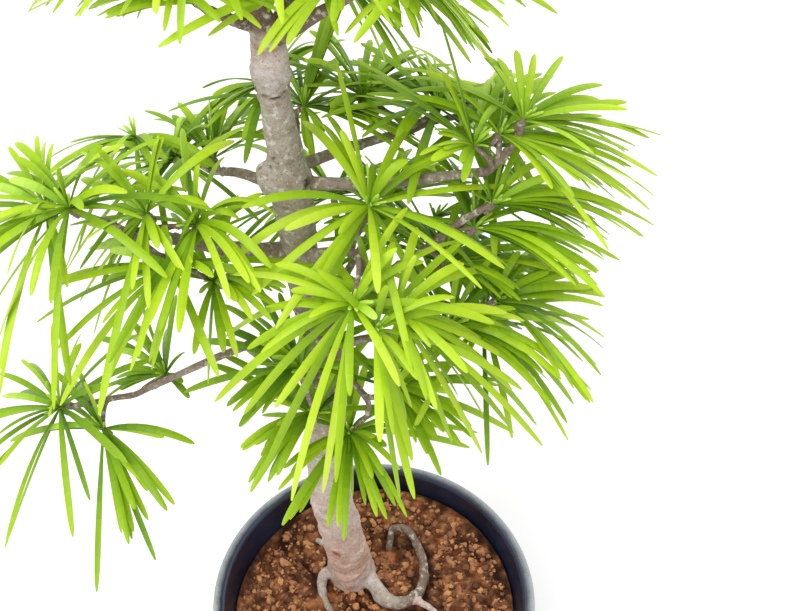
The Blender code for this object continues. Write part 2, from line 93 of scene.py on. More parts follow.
# %% [markdown]
# ## Small helpers for node materials
#
# A finish is built from shader nodes. Wiring them one call at a time makes long scripts, so one helper
# feeds a node's inputs and another adds a node with its settings. Colours are easier to read as the
# values from 0 to 255 of a picture on a screen, but shaders want linear light, so a third converts them.


# %% Helpers for nodes and colours
def linear(red, green, blue):
    """A screen colour of 0 to 255 a channel, as the linear colour that a shader reads."""
    shares = [channel / 255 for channel in (red, green, blue)]
    return tuple(c / 12.92 if c <= 0.04045 else ((c + 0.055) / 1.055) ** 2.4 for c in shares)


def feed(tree, node, inputs):
    """Set a node's inputs to values, or link them to sockets."""
    for name, value in inputs.items():
        if isinstance(value, bpy.types.NodeSocket):
            tree.links.new(value, node.inputs[name])
        else:
            node.inputs[name].default_value = value


def add_node(tree, kind, inputs=None, **settings):
    """A shader node with its settings, and its inputs fed with values or sockets."""
    node = tree.nodes.new(kind)
    for name, value in settings.items():
        setattr(node, name, value)
    feed(tree, node, inputs or {})
    return node


def ramp(tree, factor, stops):
    """A colour ramp over a factor, from (position, screen colour) stops."""
    node = add_node(tree, "ShaderNodeValToRGB", {"Fac": factor})
    elements = node.color_ramp.elements
    while len(elements) < len(stops):
        elements.new(1)
    for element, (position, colour) in zip(elements, stops):
        element.position = position
        element.color = (*linear(*colour), 1)
    return node.outputs["Color"]


def mixed(tree, factor, first, second, blend="MIX"):
    """Two colours mixed by a factor. A Mix node's sockets 0, 6 and 7 and its output 2 are for colours."""
    inputs = {0: factor, 6: first, 7: second}
    node = add_node(tree, "ShaderNodeMix", inputs, data_type="RGBA", blend_type=blend)
    return node.outputs[2]


def new_finish(name):
    """A new material, with its node tree and its Principled shader."""
    material = bpy.data.materials.new(name)
    material.use_nodes = True
    return material, material.node_tree, material.node_tree.nodes["Principled BSDF"]


# %% [markdown]
# ## One pattern that bark, glaze, clay and soil share
#
# Old bark is blotched, a glaze breaks in clouds, and soil is damp in patches. All of that is noise that
# is stretched one way or another and then hardened into a mask. A shader node group holds that once,
# with inputs for the place, the stretch, the size and the two levels between which the mask rises.

# %% Build the mottle group
mottle_group = bpy.data.node_groups.new("mottle", "ShaderNodeTree")
for socket_name, socket_kind in (
    ("Place", "NodeSocketVector"),
    ("Stretch", "NodeSocketVector"),
    ("Scale", "NodeSocketFloat"),
    ("Low", "NodeSocketFloat"),
    ("High", "NodeSocketFloat"),
):
    mottle_group.interface.new_socket(socket_name, in_out="INPUT", socket_type=socket_kind)
mottle_group.interface.new_socket("Mask", in_out="OUTPUT", socket_type="NodeSocketFloat")
group_in = mottle_group.nodes.new("NodeGroupInput")
stretched = add_node(
    mottle_group,
    "ShaderNodeVectorMath",
    {0: group_in.outputs["Place"], 1: group_in.outputs["Stretch"]},
    operation="MULTIPLY",
)
cloud = add_node(
    mottle_group,
    "ShaderNodeTexNoise",
    {"Vector": stretched.outputs[0], "Scale": group_in.outputs["Scale"], "Detail": 5.0, "Roughness": 0.6},
)
levels = add_node(
    mottle_group,
    "ShaderNodeMapRange",
    {
        "Value": cloud.outputs[0],
        "From Min": group_in.outputs["Low"],
        "From Max": group_in.outputs["High"],
    },
)
add_node(mottle_group, "NodeGroupOutput", {"Mask": levels.outputs["Result"]})


def mottle(tree, place, scale, low, high, stretch=(1, 1, 1)):
    """The mottle group placed in a material, with that material's own values."""
    inputs = {"Place": place, "Stretch": stretch, "Scale": scale, "Low": low, "High": high}
    return add_node(tree, "ShaderNodeGroup", inputs, node_tree=mottle_group).outputs["Mask"]


print("mottle group sockets:", [item.name for item in mottle_group.interface.items_tree])

# %% [markdown]
# ## The pot
#
# The real pot was turned on a wheel: a flat foot, a wall that widens upwards and a thicker rolled rim.
# Its inside and outside have a dark navy glaze, and its lip, where glaze runs off, is a pale bare grey
# that also stands for the highlight on the rounded lip: painted highlight.
# A turned thing is a profile that is spun round an axis, so the profile is drawn as points and spun.
# The sizes are those of the solid. The arcs are finer, and the wall keeps faint throwing ridges.


# %% The pot's profile
POT_RIM_RADIUS = 76 * MM
POT_FOOT_RADIUS = 58 * MM
POT_HEIGHT = 92 * MM
POT_WALL = 4.5 * MM
POT_FLOOR = 6 * MM
POT_FOOT_ROUNDING = 3 * MM
RIM_HEIGHT = 7 * MM
RIM_OVERHANG = 1.6 * MM
RIM_ROUNDING = 1.6 * MM
SOIL_TOP = 77 * MM
RIDGE_DEPTH = 0.12 * MM
RIDGE_PITCH = 5 * MM
WALL_TOP = 84  # in millimetres, with a row at each millimetre down from there
WALL_ROWS = 75
POT_STEPS = 144
SHARP_EDGE = math.radians(40)


def arc(centre, radius, start, end, steps):
    """Points of an arc in the plane of the profile, angles in degrees."""
    angles = [math.radians(start + (end - start) * i / steps) for i in range(steps + 1)]
    return [(centre[0] + radius * math.cos(a), centre[1] + radius * math.sin(a)) for a in angles]


def inner_radius(height):
    """The radius of the pot's inside at a height."""
    share = height / POT_HEIGHT
    return POT_FOOT_RADIUS + (POT_RIM_RADIUS - RIM_OVERHANG - POT_FOOT_RADIUS) * share - POT_WALL


def pot_profile():
    """The outline of the pot's wall, from the middle of its inside floor over the rim to the foot."""
    rim_low = POT_HEIGHT - RIM_HEIGHT
    inner_top = inner_radius(POT_HEIGHT)
    roll = RIM_ROUNDING
    profile = [(0, POT_FLOOR), (inner_radius(POT_FLOOR) - 2 * MM, POT_FLOOR)]
    profile += [(inner_radius(h * MM), h * MM) for h in range(8, 90, 4)]
    profile += arc((inner_top + roll, POT_HEIGHT - roll), roll, 180, 90, 7)
    profile += arc((POT_RIM_RADIUS - roll, POT_HEIGHT - roll), roll, 90, 0, 7)
    profile += arc((POT_RIM_RADIUS - roll, rim_low + roll), roll, 0, -60, 5)
    for step in range(WALL_ROWS):
        height = (WALL_TOP - step) * MM - RIM_OVERHANG
        ridge = RIDGE_DEPTH * math.sin(math.tau * height / RIDGE_PITCH)
        profile.append((inner_radius(height) + POT_WALL + ridge - RIDGE_DEPTH, height))
    foot = POT_FOOT_ROUNDING
    profile += arc((POT_FOOT_RADIUS - foot, foot), foot, 0, -90, 6)
    return profile + [(0, 0)]


def mesh_from(builder, name):
    """The mesh of a bmesh, which is then freed."""
    mesh = bpy.data.meshes.new(name)
    builder.to_mesh(mesh)
    builder.free()
    return mesh


def spun(name, profile, steps):
    """A closed mesh spun from a profile of (radius, height) points round the Z axis."""
    builder = bmesh.new()
    corners = [builder.verts.new((radius, 0, height)) for radius, height in profile]
    edges = [builder.edges.new(pair) for pair in zip(corners, corners[1:])]
    bmesh.ops.spin(
        builder,
        geom=corners + edges,
        cent=(0, 0, 0),
        axis=(0, 0, 1),
        dvec=(0, 0, 0),
        angle=math.tau,
        steps=steps,
        use_merge=True,
        use_duplicate=False,
    )
    bmesh.ops.remove_doubles(builder, verts=builder.verts, dist=0.001 * MM)
    bmesh.ops.recalc_face_normals(builder, faces=builder.faces)
    return mesh_from(builder, name)


def new_piece(name, mesh, material, nodes=()):
    """A finished piece of the plant: shown, riding with the solids, and standing for its nodes."""
    piece = bpy.data.objects.new(name, mesh)
    scene.collection.objects.link(piece)
    if material:
        mesh.materials.clear()
        mesh.materials.append(material)
    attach(piece, "root")
    if nodes:
        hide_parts(*nodes)
    return piece


def applied(piece):
    """Swap a piece's mesh for what its modifiers leave, and drop the modifiers."""
    bpy.context.view_layer.update()
    depsgraph = bpy.context.evaluated_depsgraph_get()
    piece.data = bpy.data.meshes.new_from_object(piece.evaluated_get(depsgraph))
    piece.modifiers.clear()


# %% Spin the pot and drill its drain holes
DRAIN_RADIUS = 5 * MM
DRAIN_RING_RADIUS = 30 * MM
DRAIN_COUNT = 3
glaze, glaze_tree, glaze_shader = new_finish("navy_glaze_with_bare_highlit_lip")
pot_mesh = spun("glazed_pot", pot_profile(), POT_STEPS)
pot = new_piece("glazed_pot", pot_mesh, glaze, ["pot"])
drains = bpy.data.collections.new("drain cutters")
for index in range(DRAIN_COUNT):
    angle = math.tau * (index + 0.5) / DRAIN_COUNT
    place = Matrix.Rotation(angle, 4, "Z") @ Matrix.Translation((DRAIN_RING_RADIUS, 0, 0))
    builder = bmesh.new()
    bmesh.ops.create_cone(
        builder,
        cap_ends=True,
        segments=28,
        radius1=DRAIN_RADIUS,
        radius2=DRAIN_RADIUS,
        depth=4 * POT_FLOOR,
        matrix=place,
    )
    drains.objects.link(bpy.data.objects.new("drain", mesh_from(builder, "drain")))
drill = pot.modifiers.new("drains", "BOOLEAN")
drill.operation = "DIFFERENCE"
drill.operand_type = "COLLECTION"
drill.collection = drains
drill.solver = "EXACT"
applied(pot)
for cutter in list(drains.objects):
    bpy.data.objects.remove(cutter, do_unlink=True)
bpy.data.collections.remove(drains)
pot.data.shade_smooth()
pot.data.set_sharp_from_angle(angle=SHARP_EDGE)
print("pot faces:", len(pot.data.polygons))

# %% [markdown]
# ## The glaze
#
# A navy glaze is thick and nearly black, with clouds of a slightly lighter blue and a few specks. It
# breaks over the edge of the lip into bare grey clay, which is also a painted highlight on the rounded
# lip, paler towards its outer edge. Height above the foot says where the lip is, and a little noise
# makes its edge wander as a dipped glaze does. The bare clay is rough, the glaze smooth.

# %% Mix the glaze
LIP_FROM = 88.4 * MM
LIP_RADIUS = 72.6 * MM
LIP_FADE = 2.8 * MM
GLAZE_EDGE = 0.6 * MM
LIP_WANDER = 0.8 * MM
glaze_place = add_node(glaze_tree, "ShaderNodeTexCoord").outputs["Object"]
glaze_parts = add_node(glaze_tree, "ShaderNodeSeparateXYZ", {0: glaze_place})
flat_place = add_node(
    glaze_tree, "ShaderNodeCombineXYZ", {"X": glaze_parts.outputs["X"], "Y": glaze_parts.outputs["Y"]}
)
from_axis = add_node(glaze_tree, "ShaderNodeVectorMath", {0: flat_place.outputs[0]}, operation="LENGTH")
wander = mottle(glaze_tree, glaze_place, 160, 0.3, 0.7)


def past_edge(value, edge, fade):
    """A mask that rises over a fade where a value, shifted by the wandering noise, passes an edge."""
    inputs = {0: wander, 1: LIP_WANDER, 2: value}
    shifted = add_node(glaze_tree, "ShaderNodeMath", inputs, operation="MULTIPLY_ADD")
    inputs = {"Value": shifted.outputs[0], "From Min": edge, "From Max": edge + fade}
    return add_node(glaze_tree, "ShaderNodeMapRange", inputs).outputs["Result"]


high = past_edge(glaze_parts.outputs["Z"], LIP_FROM, GLAZE_EDGE)
outer = past_edge(from_axis.outputs["Value"], LIP_RADIUS, LIP_FADE)
lip_mask = add_node(glaze_tree, "ShaderNodeMath", {0: high, 1: outer}, operation="MULTIPLY").outputs[0]
clouds = mottle(glaze_tree, glaze_place, 38, 0.35, 0.7)
specks = mottle(glaze_tree, glaze_place, 900, 0.66, 0.72)
navy = ramp(glaze_tree, clouds, [(0, (20, 26, 44)), (1, (34, 44, 70))])
navy = mixed(glaze_tree, specks, navy, (*linear(70, 80, 104), 1))
clay_grain = mottle(glaze_tree, glaze_place, 1400, 0.3, 0.7)
# The pale grey of the lip is bare clay and also a painted highlight on the rounded rim.
lip_clay_and_highlight = ramp(glaze_tree, clay_grain, [(0, (146, 152, 155)), (1, (178, 183, 184))])
inputs = {"Value": lip_mask, "To Min": 0.3, "To Max": 0.75}
roughness = add_node(glaze_tree, "ShaderNodeMapRange", inputs).outputs["Result"]
inputs = {"Height": clay_grain, "Strength": 0.12, "Distance": 0.1 * MM}
pitting = add_node(glaze_tree, "ShaderNodeBump", inputs).outputs[0]
glaze_colour = mixed(glaze_tree, lip_mask, navy, lip_clay_and_highlight)
inputs = {"Base Color": glaze_colour, "Roughness": roughness, "Normal": pitting}
feed(glaze_tree, glaze_shader, inputs)
print("glaze nodes:", len(glaze_tree.nodes))

# %% [markdown]
# ## Lines with a thickness
#
# The trunk, the boughs, the twigs and the surface roots are all limbs: a smooth line that carries a
# radius. The numbers of the trunk and the boughs are the ones that the solids were made from, in
# millimetres. The surface roots are finer than in the solid, one of them goes on in an arch back into
# the soil, and the one behind the trunk dives sooner. A Catmull-Rom curve joins the points of a line,
# and a resampled copy has its points at an even spacing, so that bark has even detail.

# %% The limbs' lines, in millimetres
TRUNK_LINE = (
    (64, -10.4, 22.2, 13.4),
    (77, -11.1, 21.8, 11.9),
    (90, -12.4, 21.4, 10.5),
    (112, -14.6, 21.0, 9.8),
    (156, -19.4, 20.2, 9.4),
    (206, -18.8, 20.0, 8.8),
    (262, -18.2, 20.0, 8.1),
    (284, -21.0, 20.0, 7.6),
    (311, -24.1, 20.0, 7.0),
    (330, -24.4, 20.0, 7.1),
    (345, -25.2, 20.0, 8.1),
    (358, -26.3, 20.0, 6.6),
    (370, -27.4, 20.0, 5.7),
    (383, -28.2, 20.0, 5.4),
    (390, -28.6, 20.0, 6.1),
    (398, -28.8, 20.0, 6.3),
    (406, -29.1, 20.0, 5.5),
    (414, -30.2, 19.6, 4.3),
    (426, -33.0, 18.6, 3.5),
    (440, -36.0, 17.0, 2.9),
    (453, -38.0, 15.2, 2.3),
)
STUB_LINE = ((-27, 19, 343), (-31.5, 18, 349), (-34, 17.5, 354))
STUB_RADII = (6.6, 5.6, 3.2)
ROOTS = (
    (
        (
            (-12, 21, 83),
            (-3, 16, 81),
            (5, 6, 79),
            (14, 4, 79),
            (22, 10, 80),
            (24, 24, 82),
            (17, 39, 85),
            (9, 42, 84),
            (7, 35, 79),
            (7, 31, 76),
        ),
        5,
        1.7,
    ),
    (((-13, 21, 82), (-25, 18, 80), (-25, 8, 78), (-19, -3, 77.5), (-11, -14, 77)), 4.3, 1.3),
    (((18, 6, 79), (27, 1, 79), (33, -8, 78), (36, -18, 77)), 2.3, 1.1),
    (((-11, 23, 82), (-20, 33, 79), (-30, 40, 76.5), (-41, 43, 74.5)), 4.4, 1.3),
)
BOUGHS = {
    "bough_left": (((-26, 19, 310), (-44, 12, 319), (-57, 8.5, 327), (-76, 6, 334)), 4.6, 1.5),
    "bough_left_low": (((-20, 20, 270), (-53, 12, 262), (-86, 5, 248)), 1.9, 1.2),
    "bough_front": (((-24, 19, 309), (-14, 8, 322), (-7, 1, 331)), 2.9, 1.9),
    "bough_front_left": (((-20, 19, 276), (-23, 7, 279), (-25, 2, 279)), 1.6, 1.2),
    "bough_front_low": (((-18, 18, 250), (-8, 9, 249), (-4, 5, 248)), 1.6, 1.2),
    "bough_right": (((-24, 20, 345), (5, 18, 347), (37, 20, 350)), 2.6, 1.6),
    "bough_right_low": (((-18, 20, 262), (-1, 16, 290), (9, 15, 305), (20, 14, 317)), 2.3, 1.5),
    "bough_right_lowest": (((-18, 19, 256), (6, 12, 272), (22, 5, 284)), 1.9, 1.3),
    "bough_back_left": (((-25, 22, 338), (-44, 40, 330), (-56, 54, 318)), 2.3, 1.5),
    "bough_back": (((-26, 22, 352), (-25, 36, 349), (-25, 46, 345)), 2.0, 1.4),
    "bough_back_right": (((-25, 22, 350), (-6, 40, 343), (12, 52, 339)), 2.3, 1.5),
    "bough_back_low": (((-19, 22, 268), (-8, 42, 276), (0, 56, 282)), 1.9, 1.3),
    "bough_top_left": (((-30, 19.6, 412), (-38, 17, 417), (-44, 15, 422)), 2.3, 1.5),
    "bough_top_right": (((-29, 20, 406), (-18, 17, 416), (-8, 15, 424)), 3.3, 1.8),
    "bough_top_back": (((-29, 21, 406), (-24, 33, 411), (-18, 41, 415)), 2.2, 1.4),
}


# %% Smooth and even lines
def smooth_line(points, between):
    """A Catmull-Rom line through the rows, with `between` new rows in each interval."""
    rows = [Vector(row) for row in points]
    ends = [rows[0] * 2 - rows[1]] + rows + [rows[-1] * 2 - rows[-2]]
    line = []
    for a, b, c, d in zip(ends, ends[1:], ends[2:], ends[3:]):
        for step in range(between + 1):
            t = step / (between + 1)
            slope = (c - a) * t
            bend = (2 * a - 5 * b + 4 * c - d) * t**2
            twist = (3 * b - a - 3 * c + d) * t**3
            line.append(0.5 * (2 * b + slope + bend + twist))
    return line + [rows[-1]]


def tapered(points, first, last, power=1):
    """Rows of x, y, z and radius for a line that thins from first to last, evenly at a power of 1."""
    steps = len(points) - 1
    return [(*point, last + (first - last) * (1 - i / steps) ** power) for i, point in enumerate(points)]


def even_rows(rows, step, between=8):
    """Rows of x, y, z, radius and way along, evenly spaced on the smooth line through the rows."""
    fine = np.array(smooth_line(rows, between))
    strides = np.linalg.norm(np.diff(fine[:, :3], axis=0), axis=1)
    way = np.concatenate(([0], np.cumsum(strides)))
    marks = np.linspace(0, way[-1], max(int(way[-1] / step), 3) + 1)
    columns = [np.interp(marks, way, fine[:, i]) for i in range(4)]
    return np.column_stack(columns + [marks])


def line_frames(places):
    """The heading and the two cross directions at each point of a line, which turn with it."""
    headings = np.gradient(places, axis=0)
    headings /= np.linalg.norm(headings, axis=1)[:, None]
    side = np.array(Vector(headings[0]).orthogonal().normalized())
    frames = []
    for heading in headings:
        side = side - heading * (side @ heading)
        side = side / np.linalg.norm(side)
        frames.append((heading, side, np.cross(heading, side)))
    return frames


trunk_rows = [(x, y, z, r) for z, x, y, r in TRUNK_LINE]
print("trunk's length in mm:", round(even_rows(trunk_rows, 1)[-1, 4]))

# %% [markdown]
# ## Bark relief
#
# Larch bark on a young stem is pale grey and creased across, because the stem thickened and the skin
# was pushed into rings. It also has low swellings and small pegs where leaves once sat. Each limb is a
# flat grid that is bent round its line. Every corner of the grid knows how far along and how far round
# it is, so the creases can be true height in the mesh, and the same place is kept as an attribute on
# the mesh, which lets the bark's colours follow the limb wherever it bends.


# %% Bend a grid into a limb
WELD = 0.002 * MM


def crease(way, around, radius):
    """The height of the bark in millimetres at a place on a limb: swellings, rings and grain."""
    across = Vector((way, math.cos(around) * radius, math.sin(around) * radius))
    swelling = noise.noise(across * 0.11)
    ring = abs(noise.noise(Vector((across.x * 0.5, across.y * 0.26, across.z * 0.26 + 40))))
    wrinkle = abs(noise.noise(Vector((across.x * 0.9, across.y * 0.6, across.z * 0.6 + 20))))
    grain = noise.noise(Vector((across.x * 1.6, across.y * 1.3, across.z * 1.3 + 90)))
    creased = (0.3 - ring) * 0.08 + (0.25 - wrinkle) * 0.06
    return swelling * 0.1 * radius**0.7 - creased * radius**0.5 + grain * 0.08


def peg_height(way, around, radius, pegs):
    """The height of the nearest leaf peg at a place on a limb, in millimetres."""
    height = 0
    for peg_way, peg_around in pegs:
        turn = math.atan2(math.sin(around - peg_around), math.cos(around - peg_around)) * radius
        apart = ((way - peg_way) ** 2 + turn**2) / (0.9 + 0.1 * radius) ** 2
        if apart < 4:
            height = max(height, 0.55 * math.exp(-apart * 1.6))
    return height


def add_bark_layers(builder):
    """Give the corners of a bmesh the attributes that the bark reads."""
    builder.verts.layers.float_vector.new("limb_place")
    builder.verts.layers.float.new("bark_tone")
    builder.verts.layers.float_color.new("marks")


def bark_layers(builder):
    """A bmesh's layers for the place on the limb, the tone of the bark and its marks."""
    layers = builder.verts.layers
    return layers.float_vector["limb_place"], layers.float["bark_tone"], layers.float_color["marks"]


def limb_builder():
    """An empty bmesh with the attributes that the bark reads."""
    builder = bmesh.new()
    add_bark_layers(builder)
    return builder


def bend_limb(builder, rows, sides, pegs=(), tone=0.45, start=0.0):
    """Add a limb to the bmesh: a grid bent along rows in millimetres, with its bark's relief."""
    steps = len(rows) - 1
    place_layer, tone_layer, mark_layer = bark_layers(builder)
    made = bmesh.ops.create_grid(builder, x_segments=steps, y_segments=sides, size=0.5)["verts"]
    frames = line_frames(rows[:, :3])
    for vert in made:
        index = round((vert.co.x + 0.5) * steps)
        around = math.tau * round((vert.co.y + 0.5) * sides) / sides
        x, y, z, radius, way = rows[index]
        _, side, other = frames[index]
        lift = crease(way + start, around, radius) + peg_height(way, around, radius, pegs)
        out = side * math.cos(around) + other * math.sin(around)
        place = np.array((x, y, z)) + out * (radius + lift)
        vert.co = Vector(place) * MM
        across, over = math.cos(around) * radius, math.sin(around) * radius
        vert[place_layer] = Vector((way + start, across, over)) * MM
        vert[tone_layer] = tone
        vert[mark_layer] = (0, 0, 0, 1)


def closed_mesh(builder, name):
    """Close a bmesh's seams and ends, turn its faces outwards and make it a smooth mesh."""
    bmesh.ops.remove_doubles(builder, verts=builder.verts, dist=WELD)
    rims = [edge for edge in builder.edges if edge.is_boundary]
    bmesh.ops.holes_fill(builder, edges=rims, sides=0)
    bmesh.ops.recalc_face_normals(builder, faces=builder.faces)
    mesh = mesh_from(builder, name)
    mesh.shade_smooth()
    return mesh


def rounded_end(rows, blunt=0.7):
    """The rows with a few more past the tip, whose radii close it to a blunt end."""
    last = rows[-1]
    heading = rows[-1, :3] - rows[-2, :3]
    heading = heading / np.linalg.norm(heading)
    extra = []
    for share in (0.4, 0.75, 0.97):
        reach = last[3] * blunt * share
        radius = last[3] * math.sqrt(1 - share**2)
        extra.append((*(last[:3] + heading * reach), radius, last[4] + reach))
    return np.vstack([rows, extra])


# %% [markdown]
# ## The trunk
#
# The trunk leans and tapers from a root flare on the soil to its fork. It has a swelling with a cut
# stub well above its middle and a knuckle under the fork, and its surface roots lie on the soil. Where
# limbs grow out of one another there is no crease in living wood, so the trunk, the stub and the roots
# are bent separately, and then a voxel Remesh modifier makes one skin over all of them, which flows
# from one to the next. Smoothing, the flat cut at the soil and the bark's relief follow on that skin.

# %% Model the trunk
VOXEL = 0.62 * MM
TRUNK_SIDES = 28
TRUNK_RELIEF = 1.6
SMOOTHINGS = 5
FLAT_CUT = SOIL_TOP + 0.3 * MM
FADED_RELIEF = 0.3
SOIL_LINE = 78  # in millimetres, as are the heights and lengths below
FOOT_TOP = 96
ROOT_TAPER = 2.2
ROOT_KNOBS = 0.7
ROOT_FADE = 40
ROOT_END_TONE = 0.24
LIMB_START = 500
CRACK_ENDS = ((-35.4, 16.7, 355.4), (-29.4, 14.4, 362.3))
CRACK_STEPS = 12
MARKS = [  # place, reach across and up the trunk and depth in mm; colour: dark, orange, green algae
    ((-17.2, 15.0, 349), 3.4, 3.4, 1.3, (1, 0, 0)),
    ((-27.3, 14.7, 388.1), 2.7, 0.9, 0.5, (1, 0, 0)),
    ((-30.8, 15.0, 389.4), 1.6, 0.8, 0.3, (0.7, 0, 0)),
    ((-24.6, 15.6, 389.8), 1.3, 0.8, 0.3, (0.6, 0, 0)),
    ((-34.0, 17.4, 389.0), 1.5, 2.2, 0.4, (0.9, 0, 0)),
    ((-23.2, 18.0, 391.0), 1.0, 2.4, 0.3, (0.7, 0, 0)),
    ((-28.4, 20.0, 387.4), 9.0, 1.4, 0.5, (0.15, 0, 0)),
    ((-35.2, 17.5, 395.6), 3.6, 3.4, -1.0, (0, 0, 0)),
    ((-22.6, 18.0, 394.4), 3.4, 3.2, -0.9, (0, 0, 0)),
    ((-28.5, 13.4, 394.0), 3.6, 2.6, -0.5, (0, 0, 0)),
    ((-32.2, 15.5, 408.1), 1.5, 1.6, 0.2, (0, 0.5, 0)),
    ((-29.6, 14.6, 406.4), 2.4, 1.0, 0.2, (0, 0.4, 0)),
    ((-26.1, 15.5, 406.9), 1.6, 1.3, 0.2, (0, 0.5, 0)),
    ((-31.5, 15.7, 356.8), 1.3, 1.0, 0.4, (0.6, 0, 0)),
    ((-27.6, 12.4, 345.9), 1.6, 1.0, 0.4, (0.6, 0, 0)),
    ((-17.7, 11.3, 110.8), 2.8, 3.2, 0.7, (0, 1, 0)),
    ((-14.0, 11.0, 103.0), 3.0, 2.0, 0.3, (0, 0.3, 0)),
    ((-20.0, 11.5, 320.0), 9.0, 9.0, 0.0, (0, 0, 0.5)),
]
for step in range(CRACK_STEPS + 1):
    spot = Vector(CRACK_ENDS[0]).lerp(Vector(CRACK_ENDS[1]), step / CRACK_STEPS)
    MARKS.append((spot, 0.75, 0.5, 0.35, (0.8, 0, 0)))
TONES_AND_SHADE = (  # height in mm and the bark's tone: 0 dark brown, 0.45 grey, 0.7 lilac, 1 pinkish
    (77, 0.95),
    (92, 1.0),
    (112, 0.9),
    (165, 0.74),
    # From about 195 to 275 mm the tone dips to a darker brown: painted shade under the crown.
    (195, 0.5),
    (235, 0.3),
    (275, 0.34),
    (305, 0.42),
    (340, 0.42),
    (376, 0.46),
    (392, 0.52),
    (402, 0.8),
    (410, 0.6),
    (416, 0.12),
    (453, 0.05),
)


def skin_over(limbs):
    """One closed skin over several limbs, by a voxel Remesh modifier."""
    builder = limb_builder()
    for rows in limbs:
        part = limb_builder()
        bend_limb(part, rows, TRUNK_SIDES)
        passed = closed_mesh(part, "limb")
        builder.from_mesh(passed)
        bpy.data.meshes.remove(passed)
    holder = bpy.data.objects.new("skin", mesh_from(builder, "skin"))
    scene.collection.objects.link(holder)
    remesh = holder.modifiers.new("one skin", "REMESH")
    remesh.mode = "VOXEL"
    remesh.voxel_size = VOXEL
    applied(holder)
    skin = holder.data
    bpy.data.objects.remove(holder, do_unlink=True)
    return skin


def limb_samples(limbs):
    """A tree of the limbs' line points, and the row, frame and start of each."""
    samples = []
    start = 0
    for rows in limbs:
        for row, axes in zip(rows, line_frames(rows[:, :3])):
            samples.append((row, axes, start))
        start += LIMB_START
    tree = kdtree.KDTree(len(samples))
    for index, (row, _, _) in enumerate(samples):
        tree.insert(Vector(row[:3]), index)
    tree.balance()
    return tree, samples


def mark_falloff(place, centre, across, up):
    """How strongly a mark shows at a place: 1 at its centre, 0 past its ragged edge."""
    ragged = 1 + 0.5 * noise.noise(place * 1.5)
    away = place - Vector(centre)
    share = math.hypot(away.xy.length / across, away.z / up) / ragged
    return max(0.0, 1 - share**3)


def foot_lobes(height, around):
    """How far the trunk's foot swells towards its roots, in millimetres."""
    share = min(max((FOOT_TOP - height) / (FOOT_TOP - FLAT_CUT / MM), 0), 1)
    return share**1.5 * (0.9 + 1.1 * math.cos(3 * around + 0.6) + 0.6 * math.cos(7 * around))


trunk_limbs = [
    even_rows(trunk_rows, 1.0),
    even_rows([(*point, radius) for point, radius in zip(STUB_LINE, STUB_RADII)], 1.0),
]
trunk_limbs += [even_rows(tapered(points, first, last, ROOT_TAPER), 1.0) for points, first, last in ROOTS]
builder = bmesh.new()
builder.from_mesh(skin_over([rounded_end(rows) for rows in trunk_limbs]))
for _ in range(SMOOTHINGS):
    bmesh.ops.smooth_vert(
        builder, verts=builder.verts, factor=0.5, use_axis_x=True, use_axis_y=True, use_axis_z=True
    )
everything = builder.verts[:] + builder.edges[:] + builder.faces[:]
bmesh.ops.bisect_plane(
    builder, geom=everything, plane_co=(0, 0, FLAT_CUT), plane_no=(0, 0, 1), clear_inner=True
)
add_bark_layers(builder)
place_layer, tone_layer, mark_layer = bark_layers(builder)
line_tree, samples = limb_samples(trunk_limbs)
tone_heights, tone_values = zip(*TONES_AND_SHADE)
builder.normal_update()
lifts = []
for vert in builder.verts:
    spot = vert.co / MM
    _, index, _ = line_tree.find(spot)
    row, (heading, side, other), start = samples[index]
    offset = np.array(spot) - row[:3]
    way = row[4] + start + offset @ heading
    a, b = offset @ side, offset @ other
    vert[place_layer] = Vector((way, a, b)) * MM
    tone = float(np.interp(spot.z, tone_heights, tone_values))
    lift = TRUNK_RELIEF * crease(way, math.atan2(b, a), row[3])
    if start == 0:
        lift += foot_lobes(spot.z, math.atan2(b, a))
    elif start > LIMB_START:
        lift += ROOT_KNOBS * noise.noise(Vector((way * 0.3, a * 0.2, b * 0.2)))
        tone *= 1 - (1 - ROOT_END_TONE) * min(row[4] / ROOT_FADE, 1)
    vert[tone_layer] = tone
    colours = [0, 0, 0]
    for centre, across, up, depth, colour in MARKS:
        strength = mark_falloff(spot, centre, across, up)
        lift -= strength * depth
        colours = [max(old, new * strength) for old, new in zip(colours, colour)]
    vert[mark_layer] = (*colours, 1)
    lifts.append(lift if spot.z > SOIL_LINE else lift * FADED_RELIEF)
for vert, lift in zip(builder.verts, lifts):
    vert.co += vert.normal * lift * MM
    vert.co.z = max(vert.co.z, FLAT_CUT)
trunk_mesh = closed_mesh(builder, "trunk_bark")
print("trunk faces:", len(trunk_mesh.polygons))

# %% [markdown]
# ## The boughs
#
# A bough leaves the trunk thick and ends as thin as the twig that carries on from it. It is knobbly:
# each knob is a peg where a tuft of needles once grew. The pegs stand at random, but from a seeded
# generator, so that the same plant grows each time. A bough starts inside the trunk, as a branch does.


# %% Model the boughs
BOUGH_SIDES = 18
BOUGH_STEP = 0.8
BOUGH_BLUNT = 0.2
BOUGH_TONE = 0.36
YOUNG_BOUGH_TONE = 0.16
PEG_SPACING = 5


def random_pegs(rng, length, spacing):
    """Places of leaf pegs along a limb: the way along in millimetres and the angle round it."""
    count = int(length / spacing)
    return [(rng.uniform(3, length), rng.uniform(0, math.tau)) for _ in range(count)]


bark, bark_tree, bark_shader = new_finish("larch_bark")
new_piece("trunk_bark", trunk_mesh, bark, ["trunk"])
bough_faces = 0
for number, (name, (points, first, last)) in enumerate(BOUGHS.items()):
    rows = even_rows(tapered(points, first, last), BOUGH_STEP)
    rng = random.Random(100 + number)
    pegs = random_pegs(rng, rows[-1, 4], PEG_SPACING)
    builder = limb_builder()
    tone = YOUNG_BOUGH_TONE if "top" in name else BOUGH_TONE
    bend_limb(builder, rounded_end(rows, BOUGH_BLUNT), BOUGH_SIDES, pegs, tone, 40 * number)
    bough_mesh = closed_mesh(builder, f"{name}_bark")
    bough_faces += len(bough_mesh.polygons)
    new_piece(f"{name}_bark", bough_mesh, bark, [name])
print("bough faces:", bough_faces)
